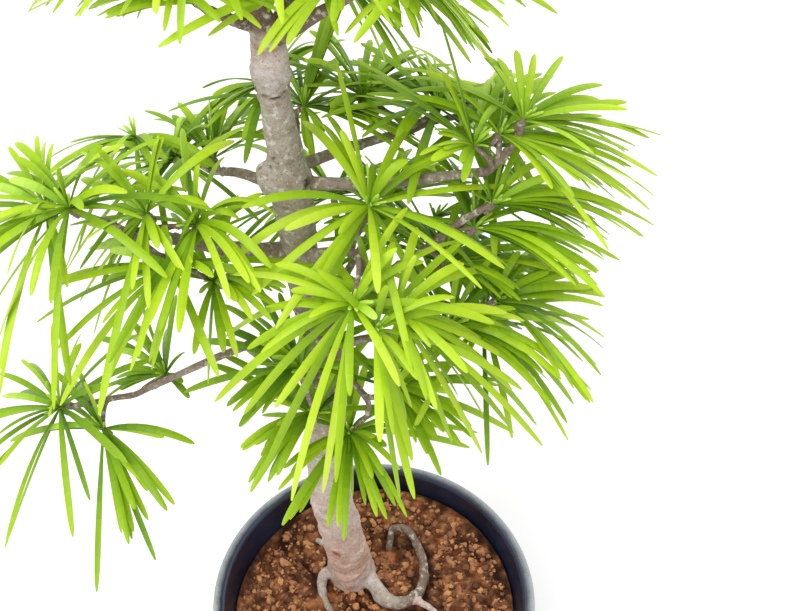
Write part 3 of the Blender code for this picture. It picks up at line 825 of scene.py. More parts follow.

# %% [markdown]
# ## The colours of the bark
#
# The bark's tone runs from dark brown young wood at the fork, over warm grey, to the pale lilac of the
# lower trunk and the pinkish foot. Between about 195 and 275 mm the trunk is painted a darker brown:
# painted shade under the needles. Creases across the limb are darker, long grain is brown, dark
# specks and pale flecks lie all over it, and there are a few scars. All of it reads the place along
# the limb that the mesh keeps, so the rings go round a bough whichever way it points.

# %% Mix the bark
limb_place = add_node(bark_tree, "ShaderNodeAttribute", attribute_name="limb_place").outputs["Vector"]
tone_and_shade_of_limb = add_node(bark_tree, "ShaderNodeAttribute", attribute_name="bark_tone").outputs["Fac"]
marks = add_node(bark_tree, "ShaderNodeAttribute", attribute_name="marks").outputs["Color"]
mark_parts = add_node(bark_tree, "ShaderNodeSeparateColor", {"Color": marks})
blotches = mottle(bark_tree, limb_place, 110, 0.35, 0.65)
rings = mottle(bark_tree, limb_place, 700, 0.46, 0.66, (1, 0.4, 0.4))
long_grain = mottle(bark_tree, limb_place, 900, 0.5, 0.7, (0.3, 1, 1))
lichen = mottle(bark_tree, limb_place, 420, 0.54, 0.66)
dark_specks = mottle(bark_tree, limb_place, 1500, 0.58, 0.66)
skin_colour = ramp(
    bark_tree,
    tone_and_shade_of_limb,
    [
        (0, (104, 80, 68)),
        (0.3, (146, 130, 118)),
        (0.45, (184, 176, 166)),
        (0.7, (206, 196, 196)),
        (0.85, (222, 200, 194)),
        (1, (236, 200, 180)),
    ],
)
weathered = mixed(bark_tree, blotches, skin_colour, (0.8, 0.74, 0.68, 1), "MULTIPLY")
weathered = mixed(bark_tree, long_grain, weathered, (0.84, 0.74, 0.62, 1), "MULTIPLY")
weathered = mixed(bark_tree, lichen, weathered, (*linear(206, 202, 192), 1))
weathered = mixed(bark_tree, rings, weathered, (0.8, 0.75, 0.7, 1), "MULTIPLY")
weathered = mixed(bark_tree, dark_specks, weathered, (0.52, 0.46, 0.42, 1), "MULTIPLY")
marked = mixed(bark_tree, mark_parts.outputs["Blue"], weathered, (*linear(120, 124, 84), 1))
marked = mixed(bark_tree, mark_parts.outputs["Green"], marked, (*linear(176, 98, 40), 1))
marked = mixed(bark_tree, mark_parts.outputs["Red"], marked, (*linear(46, 34, 28), 1))
inputs = {"Height": rings, "Strength": 0.35, "Distance": 0.25 * MM}
relief = add_node(bark_tree, "ShaderNodeBump", inputs, invert=True).outputs[0]
inputs = {"Height": dark_specks, "Strength": 0.4, "Distance": 0.2 * MM, "Normal": relief}
relief = add_node(bark_tree, "ShaderNodeBump", inputs).outputs[0]
inputs = {"Base Color": marked, "Roughness": 0.86, "Specular IOR Level": 0.25, "Normal": relief}
feed(bark_tree, bark_shader, inputs)
print("bark nodes:", len(bark_tree.nodes))

# %% [markdown]
# ## The soil
#
# The pot is filled with a loose reddish mix: clumps of a few millimetres, crumbs between them and gaps.
# Cells of Voronoi noise are shaped like heaped grains, so they lift the surface of the soil in two
# sizes, and thousands of loose crumbs lie half sunk on top. The colour of the bed follows that height:
# painted shade darkens the gaps and painted light brightens the tops of the clumps. Near the roots the
# soil rises a little, which beds them in, and it is heaped a few millimetres higher at the back right.

# %% Model the bed of soil
GAP = 0.3 * MM
BED_RINGS = 82
BED_SPOKES = 330
BEDDING_RISE = 1.2
BEDDING_REACH = 11
HEAP_WAY = (0.5, 0.87)
HEAP_RISE = 5.5
HEAP_FROM = 15
HEAP_REACH = 50


def heap(place, size):
    """A dome over each cell of the given size: 1 over the middle of a clump, 0 in the gaps."""
    nearest = noise.voronoi(place / size)[0][0]
    return max(0.0, 1 - (nearest / 0.62) ** 2)


def soil_height(x, y):
    """How far the soil stands above its level at a place, all in millimetres."""
    place = Vector((x, y, 3.7))
    low = noise.noise(place / 19) * 1.5
    wobble = Vector((noise.noise(place / 3.1), noise.noise(place / 3.3 + Vector((9, 9, 9))), 0)) * 1.2
    clump = heap(place + wobble, 6.5) * 1.5 + heap(place + wobble * 0.6 + Vector((31, 7, 5)), 3.0) * 0.9
    return low + clump + noise.noise(place / 0.9) * 0.35 - 1.4


def bedding(x, y, apart):
    """How much the soil rises round a root and towards the back right, in millimetres."""
    share = min(max((x * HEAP_WAY[0] + y * HEAP_WAY[1] - HEAP_FROM) / HEAP_REACH, 0), 1)
    round_root = max(0.0, 1 - apart / BEDDING_REACH) * BEDDING_RISE
    return round_root + HEAP_RISE * share**2 * (3 - 2 * share)


bed_radius = inner_radius(SOIL_TOP) - 2 * GAP
bed_profile = [(0, POT_FLOOR + GAP), (inner_radius(POT_FLOOR) - 2 * GAP, POT_FLOOR + GAP)]
bed_profile += [(bed_radius, SOIL_TOP - 2 * MM)]
bed_profile += [(bed_radius * (1 - i / BED_RINGS), SOIL_TOP) for i in range(BED_RINGS + 1)]
bed_mesh = spun("soil_bed", bed_profile, BED_SPOKES)
builder = bmesh.new()
builder.from_mesh(bed_mesh)
height_shade_layer = builder.verts.layers.float.new("crumb")
for vert in builder.verts:
    if vert.co.z > SOIL_TOP - 1 * MM:
        x, y = vert.co.x / MM, vert.co.y / MM
        lift = soil_height(x, y)
        edge = (bed_radius - vert.co.xy.length) / MM
        _, _, apart = line_tree.find(Vector((x, y, 79)))
        # The crumb attribute keeps the height of the clumps, which the soil's colour turns into painted
        # shade in the gaps and painted light on the tops.
        vert[height_shade_layer] = min(max((lift + 1.6) / 3.2, 0), 1)
        vert.co.z += (lift * min(edge / 2, 1) + bedding(x, y, apart)) * MM
builder.to_mesh(bed_mesh)
builder.free()
bed_mesh.shade_smooth()
earth, earth_tree, earth_shader = new_finish("crumbly_soil")
new_piece("soil_bed", bed_mesh, earth, ["soil"])
print("soil bed faces:", len(bed_mesh.polygons))

# %% Mix the soil
DULL = {"Roughness": 0.95, "Specular IOR Level": 0.15}
soil_place = add_node(earth_tree, "ShaderNodeTexCoord").outputs["Object"]
height_shade_share = add_node(earth_tree, "ShaderNodeAttribute", attribute_name="crumb").outputs["Fac"]
damp = mottle(earth_tree, soil_place, 45, 0.35, 0.65)
fine = mottle(earth_tree, soil_place, 700, 0.35, 0.65)
ochre = mottle(earth_tree, soil_place, 150, 0.52, 0.62)
# Dark in the low gaps and pale on the clump tops: painted shade and painted light from the soil's height.
soil_colour_with_painted_shade = ramp(
    earth_tree,
    height_shade_share,
    [(0, (56, 35, 26)), (0.35, (118, 78, 54)), (0.65, (172, 118, 82)), (1, (206, 148, 106))],
)
soil_colour_with_painted_shade = mixed(earth_tree, ochre, soil_colour_with_painted_shade, (1.35, 1.05, 0.8, 1), "MULTIPLY")
soil_colour_with_painted_shade = mixed(earth_tree, damp, soil_colour_with_painted_shade, (0.7, 0.65, 0.62, 1), "MULTIPLY")
soil_colour_with_painted_shade = mixed(earth_tree, fine, soil_colour_with_painted_shade, (0.7, 0.66, 0.62, 1), "MULTIPLY")
inputs = {"Height": fine, "Strength": 0.6, "Distance": 0.4 * MM}
gritty = add_node(earth_tree, "ShaderNodeBump", inputs).outputs[0]
feed(earth_tree, earth_shader, {"Base Color": soil_colour_with_painted_shade, "Normal": gritty, **DULL})
print("soil nodes:", len(earth_tree.nodes))

# %% [markdown]
# ## Many small things as one mesh
#
# Thousands of crumbs and needles would be slow as separate objects, and an export drops particles and
# instances. So one small template is modelled with bmesh operators, its corners and faces are read
# into arrays, and each copy is bent or placed with numpy. The crumbs then become one mesh, and so do
# the needles of each mass. A face keeps the number of its material, so each copy has its own colours.


# %% Join bent copies of a template
def template_arrays(builder):
    """The corners and faces of a bmesh as arrays, and then the bmesh is freed."""
    builder.verts.index_update()
    places = np.array([vert.co[:] for vert in builder.verts])
    faces = [[vert.index for vert in face.verts] for face in builder.faces]
    sizes = [len(face) for face in faces]
    starts = np.concatenate(([0], np.cumsum(sizes)[:-1])).astype(int)
    builder.free()
    return {"places": places, "corners": np.concatenate(faces), "starts": starts, "faces": faces}


def joined_mesh(name, template, copies, colours, materials):
    """One smooth mesh of all copies, each with a material number for each of its faces."""
    count = len(copies)
    corners, starts = template["corners"], template["starts"]
    size = len(template["places"])
    mesh = bpy.data.meshes.new(name)
    mesh.vertices.add(count * size)
    mesh.vertices.foreach_set("co", np.concatenate(copies).ravel())
    mesh.loops.add(count * len(corners))
    shifts = np.repeat(np.arange(count) * size, len(corners))
    mesh.loops.foreach_set("vertex_index", np.tile(corners, count) + shifts)
    mesh.polygons.add(count * len(starts))
    loop_shifts = np.repeat(np.arange(count) * len(corners), len(starts))
    mesh.polygons.foreach_set("loop_start", np.tile(starts, count) + loop_shifts)
    for material in materials:
        mesh.materials.append(material)
    mesh.polygons.foreach_set("material_index", np.concatenate(colours).astype(np.int32))
    mesh.update(calc_edges=True)
    mesh.validate()
    mesh.shade_smooth()
    return mesh


# %% Strew the loose crumbs
CRUMB_COUNT = 2600
CRUMB_SIZES = (0.5, 0.6, 0.8, 0.9, 1.1, 1.3, 1.7, 2.1)
CRUMB_INSET = 3
ROOT_CLEARANCE = 5
CRUMB_COLOURS = (
    (104, 68, 48),
    (130, 86, 60),
    (152, 102, 72),
    (172, 118, 82),
    (190, 136, 94),
    (200, 146, 98),
)


def crumb_template():
    """A cube that is cut once each way and rounded: the least mesh that reads as a crumb."""
    builder = bmesh.new()
    bmesh.ops.create_cube(builder, size=2)
    bmesh.ops.subdivide_edges(builder, edges=builder.edges[:], cuts=1, use_grid_fill=True)
    for vert in builder.verts:
        vert.co = vert.co.normalized()
    bmesh.ops.recalc_face_normals(builder, faces=builder.faces)
    return template_arrays(builder)


crumb_materials = []
for number, colour in enumerate(CRUMB_COLOURS):
    material, tree, shader = new_finish(f"crumb_{number}")
    feed(tree, shader, {"Base Color": (*linear(*colour), 1), **DULL})
    crumb_materials.append(material)

crumb = crumb_template()
rng = random.Random(5)
numbers = np.random.default_rng(5)
crumb_copies, crumb_colours = [], []
while len(crumb_copies) < CRUMB_COUNT:
    reach = math.sqrt(rng.random()) * (bed_radius / MM - CRUMB_INSET)
    turn = rng.uniform(0, math.tau)
    x, y = reach * math.cos(turn), reach * math.sin(turn)
    _, _, apart = line_tree.find(Vector((x, y, 80)))
    if apart < ROOT_CLEARANCE:
        continue
    size = rng.choice(CRUMB_SIZES)
    turned = np.array(Matrix.Rotation(rng.uniform(0, 6), 3, (rng.random(), rng.random(), rng.random())))
    lumps = 1 + numbers.uniform(-0.4, 0.3, (len(crumb["places"]), 1))
    shape = crumb["places"] * lumps * np.array((1, rng.uniform(0.6, 1), rng.uniform(0.5, 0.85)))
    level = SOIL_TOP / MM + soil_height(x, y) + bedding(x, y, apart)
    centre = np.array((x, y, level + size * rng.uniform(-0.2, 0.45)))
    crumb_copies.append((shape * size @ turned.T + centre) * MM)
    crumb_colours.append(np.full(len(crumb["faces"]), rng.randrange(len(CRUMB_COLOURS))))
crumb_mesh = joined_mesh("soil_crumbs", crumb, crumb_copies, crumb_colours, crumb_materials)
crumb_mesh.set_sharp_from_angle(angle=SHARP_EDGE)
new_piece("soil_crumbs", crumb_mesh, None)
print("crumb faces:", len(crumb_mesh.polygons))

# %% [markdown]
# ## How the foliage grows
#
# A golden larch bears its needles in tufts on short shoots. Each mass of foliage grows from the tip of
# one bough: a stem runs to the first tuft, and a twig leaves it for each other tuft. The needles of a
# tuft follow the golden angle, from long ones that spread and droop to short ones that stand in the
# middle. This is the rule of the solids, written again, with over twice the needles in the same reach. A
# needle that would pass through a limb or a twig of another mass tries another way, and is left out
# if it finds none.

# %% The masses and the numbers of the rule
FOLIAGE = {
    "foliage_front": ("bough_front", 13, ((2, 5, 349), (-3, -30, 339), (4.4, -33, 330), (11, -25, 329))),
    "foliage_left": (
        "bough_left",
        11,
        ((-98, 2, 351), (-73, 3, 347.5), (-57, 4, 341), (-66, -3, 328), (-54, 5, 311), (-108, 9, 343)),
    ),
    "foliage_right_high": ("bough_right", 16, ((53, 20, 374), (45.5, 21, 367), (37, 19.5, 363))),
    "foliage_right": ("bough_right_low", 17, ((44, 13, 342), (38.5, 14, 329), (28, 17, 307))),
    "foliage_right_low": ("bough_right_lowest", 18, ((47, 7, 298), (30, -6, 299), (44, 16, 276))),
    "foliage_front_low": ("bough_front_low", 15, ((8, -5, 262), (-8, 0, 226))),
    "foliage_front_left": ("bough_front_left", 14, ((-25, -6, 274), (-21, -2, 241))),
    "foliage_left_low": ("bough_left_low", 12, ((-122, 3, 238), (-104, -6, 236), (-81, 16, 243))),
    "foliage_top_right": (
        "bough_top_right",
        25,
        ((31, 22, 441), (14, 6, 445), (9, 22, 431), (-5, 17, 432)),
    ),
    "foliage_top_left": ("bough_top_left", 23, ((-62, 16, 430), (-47, 10, 429), (-50, 32, 434))),
    "foliage_top": ("trunk", 24, ((-44, 12, 472), (-28, 21, 468), (-53, 21, 461))),
    "foliage_back_left": ("bough_back_left", 19, ((-88, 68, 322), (-73, 60, 319), (-58, 60, 319))),
    "foliage_back_right": ("bough_back_right", 21, ((43, 62, 340), (26, 53, 350), (-1, 56, 353))),
    "foliage_back": ("bough_back", 20, ((-36, 66, 350), (-22, 53, 351))),
    "foliage_back_low": ("bough_back_low", 22, ((26, 60, 286), (8, 64, 294), (-14, 70, 289))),
    "foliage_top_back": ("bough_top_back", 26, ((3, 51, 419), (-17, 50, 423))),
}
GOLDEN_ANGLE = math.radians(137.508)
NEEDLE_LENGTH = 55
NEEDLE_THICKNESS = 0.75
NEEDLE_SHORTEST = 0.5
LOWEST_LEAN = math.radians(100)
STEEPEST_LEAN = math.radians(26)
LEAN_SPREAD = math.radians(9)
TURN_SPREAD = math.radians(16)
ROLL_SPREAD = math.radians(24)
NEEDLE_DROOP = 0.85
ROOT_INSET = 0.9
OUTWARD = 0.55
TRIES = 10
CLEARANCE = 0.45
OUTER_ROOT_AT = 0.2
SHOULDER_AT = 0.66
TWIG_RADIUS = 1.15
TWIG_TIP_RADIUS = 0.85
TWIG_BOW = 2.5
TWIG_CUTS = 3
STEM_CUTS = 5
BUD_RADIUS = 2.7


# %% Grow the twigs
def bezier(a, b, c, t):
    """A point of the arc from a to c that leaves a towards b."""
    return a * (1 - t) ** 2 + b * 2 * t * (1 - t) + c * t**2


def twig_line(start, heading, end, rng, cuts):
    """The line of a twig that leaves along its parent, bows a little, and ends in a tuft."""
    reach = (end - start).length
    bow = Vector((rng.uniform(-1, 1), rng.uniform(-1, 1), rng.uniform(-0.4, 1))) * TWIG_BOW
    turn = start + heading * reach * 0.45 + bow
    return [bezier(start, turn, end, i / cuts) for i in range(cuts + 1)]


def grow_twigs(limb_rows, rng, centres):
    """The stem and the twigs of one mass, each with its first and last radius."""
    heading = Vector(limb_rows[-1, :3] - limb_rows[-2, :3]).normalized()
    start = Vector(limb_rows[-1, :3])
    stem = twig_line(start, heading, centres[0], rng, STEM_CUTS)
    stem[1] = start + heading * (stem[1] - start).length
    twigs = [(stem, limb_rows[-1, 3], TWIG_RADIUS)]
    for centre in centres[1:]:
        nearest = min(range(len(stem)), key=lambda i: (stem[i] - centre).length)
        leave = max(nearest - rng.choice((1, 2)), 0)
        onward = (stem[leave + 1] - stem[leave]).normalized()
        origin = stem[leave] + onward * (0.8 if leave == 0 else 0)
        twigs.append((twig_line(origin, onward, centre, rng, TWIG_CUTS), TWIG_RADIUS, TWIG_TIP_RADIUS))
    return twigs


limb_rows = {name: even_rows(tapered(*numbers_of), 1.0) for name, numbers_of in BOUGHS.items()}
limb_rows["trunk"] = even_rows(trunk_rows, 1.0)
grown = {}
for name, (limb, seed, places) in FOLIAGE.items():
    rng = random.Random(seed)
    centres = [Vector(place) for place in places]
    grown[name] = (rng, centres, grow_twigs(limb_rows[limb], rng, centres))
print("twigs:", sum(len(twigs) for _, _, twigs in grown.values()))

# %% [markdown]
# ## Twigs and short shoots
#
# A twig is a thin limb with the same bark, so it is bent from a grid too. At its end sits a short
# shoot: a stubby barrel with a ring for each year that it has carried a tuft. It is turned from a
# profile, once, and a copy is stood along the way that each tuft faces.


# %% Model the twigs and short shoots
SHOOT_PROFILE = (
    (0, -5.2),
    (0.9, -5.2),
    (1.2, -4.5),
    (1.0, -4.0),
    (1.3, -3.3),
    (1.1, -2.8),
    (1.4, -2.1),
    (1.15, -1.6),
    (1.35, -0.9),
    (1.05, -0.3),
    (0.7, 0.2),
    (0, 0.4),
)
SHOOT_SIDES = 12
TWIG_SIDES = 10
TWIG_STEP = 0.9
TWIG_BLUNT = 0.5
TWIG_TONE = 0.3
TWIG_PEG_SPACING = 6
shoot_template = spun("shoot", [(r * MM, z * MM) for r, z in SHOOT_PROFILE], SHOOT_SIDES)


def facing(centre):
    """The way a tuft faces: up, and away from the trunk."""
    rows = limb_rows["trunk"]
    nearest = rows[np.abs(rows[:, 2] - centre.z).argmin()]
    away = Vector((centre.x - nearest[0], centre.y - nearest[1], 0)).normalized()
    return (away * OUTWARD + Vector((0, 0, 1))).normalized()


def twigs_mesh(name, rng, centres, twigs):
    """All twigs and short shoots of one mass, joined."""
    builder = limb_builder()
    for line, first, last in twigs:
        rows = even_rows(tapered([tuple(p) for p in line], first, last), TWIG_STEP)
        rows = rounded_end(rows, TWIG_BLUNT)
        pegs = random_pegs(rng, rows[-1, 4], TWIG_PEG_SPACING)
        bend_limb(builder, rows, TWIG_SIDES, pegs, TWIG_TONE, rng.uniform(0, 300))
    bmesh.ops.remove_doubles(builder, verts=builder.verts, dist=WELD)
    for centre in centres:
        shoot = shoot_template.copy()
        tilt = facing(centre).to_track_quat("Z", "Y").to_matrix().to_4x4()
        shoot.transform(Matrix.Translation(centre * MM) @ tilt)
        builder.from_mesh(shoot)
        bpy.data.meshes.remove(shoot)
    place_layer, tone_layer, mark_layer = bark_layers(builder)
    for vert in builder.verts:
        if vert[tone_layer] == 0:
            vert[tone_layer] = TWIG_TONE
            vert[place_layer] = vert.co
            vert[mark_layer] = (0, 0, 0, 1)
    return closed_mesh(builder, name)


twig_faces = 0
for number, (name, (_, centres, twigs)) in enumerate(grown.items()):
    twig_mesh = twigs_mesh(f"{name}_twigs", random.Random(200 + number), centres, twigs)
    twig_faces += len(twig_mesh.polygons)
    new_piece(f"{name}_twigs", twig_mesh, bark, [name])
bpy.data.meshes.remove(shoot_template)
print("twig faces:", twig_faces)

# %% [markdown]
# ## The greens
#
# A needle is deep green at its root, lime along its middle and almost yellow at its tip, and its
# edges are painted paler than its face, as a highlight along the margins. On so many small faces a
# pattern would be muddled when it is baked, so the colours are a ladder of plain greens, whose rungs
# are too close together to see. Each needle starts on its own rung and climbs from its root to its
# tip. The painted edge highlights and the minty young needles have short ladders of their own. A
# little light from inside and a thin sheen finish the leaf.

# %% Make the ladder of greens
GREEN_STOPS = (
    (30, 58, 8),
    (58, 98, 6),
    (94, 136, 4),
    (130, 168, 6),
    (156, 192, 12),
    (178, 208, 30),
    (196, 220, 64),
)
# Paler greens for the needles' margins: a painted highlight along the blade's edges.
EDGE_HIGHLIGHT_STOPS = ((116, 156, 56), (174, 204, 100), (212, 232, 148))
MINT_STOPS = ((112, 154, 24), (156, 196, 48), (188, 218, 88))
RUNGS_A_STOP = 5
EDGE_HIGHLIGHT_RUNGS = 2
MINT_RUNGS = 3


def leaf_finish(name, colour):
    """A soft green leaf that lets some light through, with plain colours throughout."""
    material, tree, shader = new_finish(name)
    inputs = {
        "Base Color": (*linear(*colour), 1),
        "Roughness": 0.48,
        "Specular IOR Level": 0.35,
        "Subsurface Weight": 0.12,
        "Subsurface Radius": (0.6, 1.0, 0.15),
        "Subsurface Scale": 0.6 * MM,
        "Sheen Weight": 0.05,
        "Sheen Roughness": 0.4,
        "Sheen Tint": (0.8, 1.0, 0.5, 1),
    }
    feed(tree, shader, inputs)
    return material


def ladder(stops, rungs):
    """Even steps of colour from stop to stop, with a number of rungs to each stop."""
    steps = []
    for low, high in zip(stops, stops[1:]):
        steps += [[a + (b - a) * i / rungs for a, b in zip(low, high)] for i in range(rungs)]
    return steps + [stops[-1]]


leaf_materials = []
first_rungs = []
for kind, stops, rungs in (
    ("green", GREEN_STOPS, RUNGS_A_STOP),
    ("margin", EDGE_HIGHLIGHT_STOPS, EDGE_HIGHLIGHT_RUNGS),
    ("mint", MINT_STOPS, MINT_RUNGS),
):
    first_rungs.append(len(leaf_materials))
    for number, colour in enumerate(ladder(stops, rungs)):
        leaf_materials.append(leaf_finish(f"needle_{kind}_{number:02d}", colour))
_, FIRST_EDGE_HIGHLIGHT, FIRST_MINT = first_rungs
EDGE_HIGHLIGHT_CLIMB = (len(EDGE_HIGHLIGHT_STOPS) - 1) * EDGE_HIGHLIGHT_RUNGS
MINT_CLIMB = (len(MINT_STOPS) - 1) * MINT_RUNGS
print("leaf finishes:", len(leaf_materials))

# %% [markdown]
# ## One needle
#
# A needle is a flat blade: narrow at its root, widest past its middle, with a blunt tip, a shallow
# groove on top, thin margins that take a painted highlight, and a keel below. A seven-sided cap is
# extruded along the blade, station by station, to make the template. The cap's edges are handed over
# with it, because only then does the operator take away the old cap, which would be left as a wall
# inside the blade. The true width and thickness are set when a copy is bent.

# %% Extrude the needle template
SECTION = ((1, 0), (0.8, 0.6), (0, 0.15), (-0.8, 0.6), (-1, 0), (-0.35, -0.9), (0.35, -0.9))
STATIONS = (0, 0.07, 0.16, 0.27, 0.38, 0.49, 0.6, 0.71, 0.81, 0.9, 0.96, 1)
WIDTHS = (0.34, 0.5, 0.66, 0.8, 0.9, 0.97, 1, 0.99, 0.93, 0.8, 0.58, 0.24)


def needle_template():
    """The straight blade of unit width, thickness and length, from a cap that is extruded."""
    builder = bmesh.new()
    start = bmesh.ops.create_circle(builder, cap_ends=True, segments=len(SECTION), radius=1)
    for vert, (across, up) in zip(start["verts"], SECTION):
        vert.co = (across, up, 0)
    cap = builder.faces[:]
    for before, after in zip(STATIONS, STATIONS[1:]):
        rim = list(cap[0].edges)
        extruded = bmesh.ops.extrude_face_region(builder, geom=cap + rim)["geom"]
        cap = [item for item in extruded if isinstance(item, bmesh.types.BMFace)]
        bmesh.ops.translate(builder, verts=list(cap[0].verts), vec=(0, 0, after - before))
    bmesh.ops.recalc_face_normals(builder, faces=builder.faces)
    return template_arrays(builder)


blade = needle_template()
blade_places = blade["places"]
station_of = np.array([np.abs(np.array(STATIONS) - z).argmin() for z in blade_places[:, 2]])
face_stations = np.array([max(station_of[face]) for face in blade["faces"]])
on_highlit_edge = np.array([np.abs(blade_places[face, 0]).min() > 0.5 for face in blade["faces"]])
print("needle faces:", len(blade["faces"]), "on its margins:", int(on_highlit_edge.sum()))


# %% Bend a needle and colour it
def needle_arc(root, heading, length, droop, t):
    """A point of a needle: it sets out along its heading and droops under its own weight."""
    return root + (heading * t + Vector((0, 0, -0.5)) * droop * t**2) * length


def tuft_heading(axis, turn, lean):
    """The heading that leans away from a tuft's axis, turned round it."""
    side = axis.cross(Vector((1, 0, 0))).normalized()
    other = axis.cross(side)
    return axis * math.cos(lean) + (side * math.cos(turn) + other * math.sin(turn)) * math.sin(lean)


def needle_heading(axis, index, count, rng, loose):
    """Heading and length of one needle of a tuft, from the spread low ones to the upright ones."""
    share = index / (count - 1)
    turn = index * GOLDEN_ANGLE + rng.uniform(-TURN_SPREAD, TURN_SPREAD) * loose
    lean = LOWEST_LEAN + (STEEPEST_LEAN - LOWEST_LEAN) * share**1.3
    lean += rng.uniform(-LEAN_SPREAD, LEAN_SPREAD) * loose
    length = NEEDLE_LENGTH * (1 - (1 - NEEDLE_SHORTEST) * share**2) * rng.uniform(0.88, 1.04)
    return tuft_heading(axis, turn, lean), length


def bent_needle(root, heading, length, droop, width, axis, rng):
    """The corners of one needle, bent along its arc, with a little sideways bow and twist."""
    across = heading.cross(axis).normalized()
    across = np.array(Matrix.Rotation(rng.uniform(-ROLL_SPREAD, ROLL_SPREAD), 3, heading) @ across)
    heading, root = np.array(heading), np.array(root)
    bow = rng.gauss(0, 0.03)
    t = np.array(STATIONS)[:, None]
    down = np.array((0, 0, -0.5)) * droop
    centre = root + (heading * t + down * t**2 + across * bow * (t**2 - t)) * length
    tangent = heading + down * 2 * t + across * bow * (2 * t - 1)
    tangent /= np.linalg.norm(tangent, axis=1)[:, None]
    flat = across - tangent * (tangent @ across)[:, None]
    flat /= np.linalg.norm(flat, axis=1)[:, None]
    thick = np.cross(tangent, flat)
    twist = rng.gauss(0, 0.3) * t
    turned = flat * np.cos(twist) + thick * np.sin(twist)
    thick = thick * np.cos(twist) - flat * np.sin(twist)
    flat = turned
    widths = np.array(WIDTHS)[:, None]
    flat = flat * width / 2 * widths
    thick = thick * NEEDLE_THICKNESS / 2 * np.sqrt(widths)
    i = station_of
    corners = centre[i] + flat[i] * blade_places[:, :1] + thick[i] * blade_places[:, 1:2]
    return corners * MM


def needle_colours(rung, climb, young):
    """The material number of each face of a needle that starts on a rung of the ladder and climbs."""
    share = np.array(STATIONS)[face_stations]
    if young:
        return FIRST_MINT + np.round(share * MINT_CLIMB).astype(int)
    steps = np.clip(rung + np.round(climb * share), 0, FIRST_EDGE_HIGHLIGHT - 1)
    # Faces on the margins take a paler rung: painted highlight along the edges.
    pale = FIRST_EDGE_HIGHLIGHT + np.round(steps / (FIRST_EDGE_HIGHLIGHT - 1) * EDGE_HIGHLIGHT_CLIMB)
    return np.where(on_highlit_edge, pale, steps)


# %% [markdown]
# ## Keeping clear
#
# The limbs and twigs are kept as straight bars. The distance of a new needle to all of them is worked
# out at once with numpy, which is quick enough to try every needle against every limb.


# %% The room that limbs take
def bar_distances(a, b, starts, ends):
    """The distance of the straight bar from a to b to each bar from starts to ends."""
    along, others, between = b - a, ends - starts, a - starts
    own = along @ along
    theirs = np.maximum((others * others).sum(1), 1e-12)
    across = others @ along
    own_offset = between @ along
    their_offset = (between * others).sum(1)
    spread = np.maximum(own * theirs - across**2, 1e-12)
    s = np.clip((across * their_offset - own_offset * theirs) / spread, 0, 1)
    t = np.clip((across * s + their_offset) / theirs, 0, 1)
    s = np.clip((across * t - own_offset) / own, 0, 1)
    return np.linalg.norm(a + s[:, None] * along - starts - t[:, None] * others, axis=1)


def bars_of(rows, owner):
    """A line's bars as rows of two ends, a radius and the number of the mass that owns it."""
    return [(*a[:3], *b[:3], a[3], owner) for a, b in zip(rows, rows[1:])]


bars = []
for name, rows in limb_rows.items():
    bars += bars_of(rows[::4], -1)
for owner, (_, centres, twigs) in enumerate(grown.values()):
    for line, first, last in twigs:
        bars += bars_of(np.array(tapered([tuple(p) for p in line], first, last)), owner)
    for centre in centres:
        bars.append((*centre, centre.x, centre.y, centre.z + 0.7, BUD_RADIUS, owner))
bars = np.array(bars)


def has_room(line, width, owner):
    """True where a needle, given as root, outer root, shoulder and tip, is clear of every limb."""
    other = bars[:, 7] != owner
    for index, (a, b) in enumerate(zip(line, line[1:])):
        tested = bars[other] if index == 0 else bars[other | (index > 1)]
        gaps = bar_distances(np.array(a), np.array(b), tested[:, :3], tested[:, 3:6])
        if (gaps < tested[:, 6] + width * 0.4 + CLEARANCE).any():
            return False
    return True


print("bars to keep clear of:", len(bars))

# %% [markdown]
# ## Sky and bark that must stay in view
#
# In the photograph the crown is open in places: sky shows between the masses, and the trunk and some
# boughs can be followed. A needle that grows by the rule must not close such a gap. Each gap is a
# capsule in the 800 by 611 picture: two ends and a radius in pixels. The last number says how near a
# needle must be to matter, in pixels to a millimetre. It is 0 where sky shows, and over bark or far
# tufts it lets the needles that lie behind them pass.

# %% The gaps of the crown
GAPS = (
    (-20, 58, 135, 56, 34, 0),
    (135, 78, 235, 66, 16, 0),
    (215, 40, 240, 40, 14, 0),
    (-60, 112, 112, 112, 20, 0),
    (115, 124, 165, 124, 8, 0),
    (240, 163, 242, 178, 13, 0),
    (318, 147, 334, 172, 7, 0),
    (372, 148, 390, 150, 8, 0),
    (424, 207, 450, 202, 4, 0),
    (356, 262, 357, 275, 4, 0),
    (520, 42, 600, 30, 26, 0),
    (442, 40, 480, 72, 9, 0),
    (620, 50, 800, 50, 48, 0),
    (770, 0, 770, 240, 95, 0),
    (745, 330, 745, 400, 115, 0),
    (640, 470, 700, 560, 70, 0),
    (556, 490, 580, 520, 46, 0),
    (205, 425, 195, 560, 24, 0),
    (180, 410, 186, 430, 9, 0),
    (112, 407, 165, 385, 6, 0),
    (182, 325, 187, 372, 7, 0),
    (222, 395, 215, 425, 8, 0),
    (203, 285, 206, 283, 5, 0),
    (371, 350, 371, 354, 5, 0),
    (370, 396, 371, 402, 5, 0),
    (418, 452, 424, 462, 6, 0),
    (232, 500, 250, 470, 14, 0),
    (268, 50, 286, 185, 16, 2.92),
    (300, 216, 310, 255, 7, 2.9),
    (250, 250, 290, 248, 5, 2.9),
    (392, 186, 480, 174, 5, 2.98),
    (130, 410, 232, 362, 4, 2.62),
    (325, 90, 520, 100, 42, 3.12),
)
PICTURE_WIDTH = 800
PICTURE_HEIGHT = 611
FOCAL_PIXELS = camera_data.lens / camera_data.sensor_width * PICTURE_WIDTH
eye = np.array(camera.location) / MM
turned_camera = np.array(camera.rotation_euler.to_matrix())


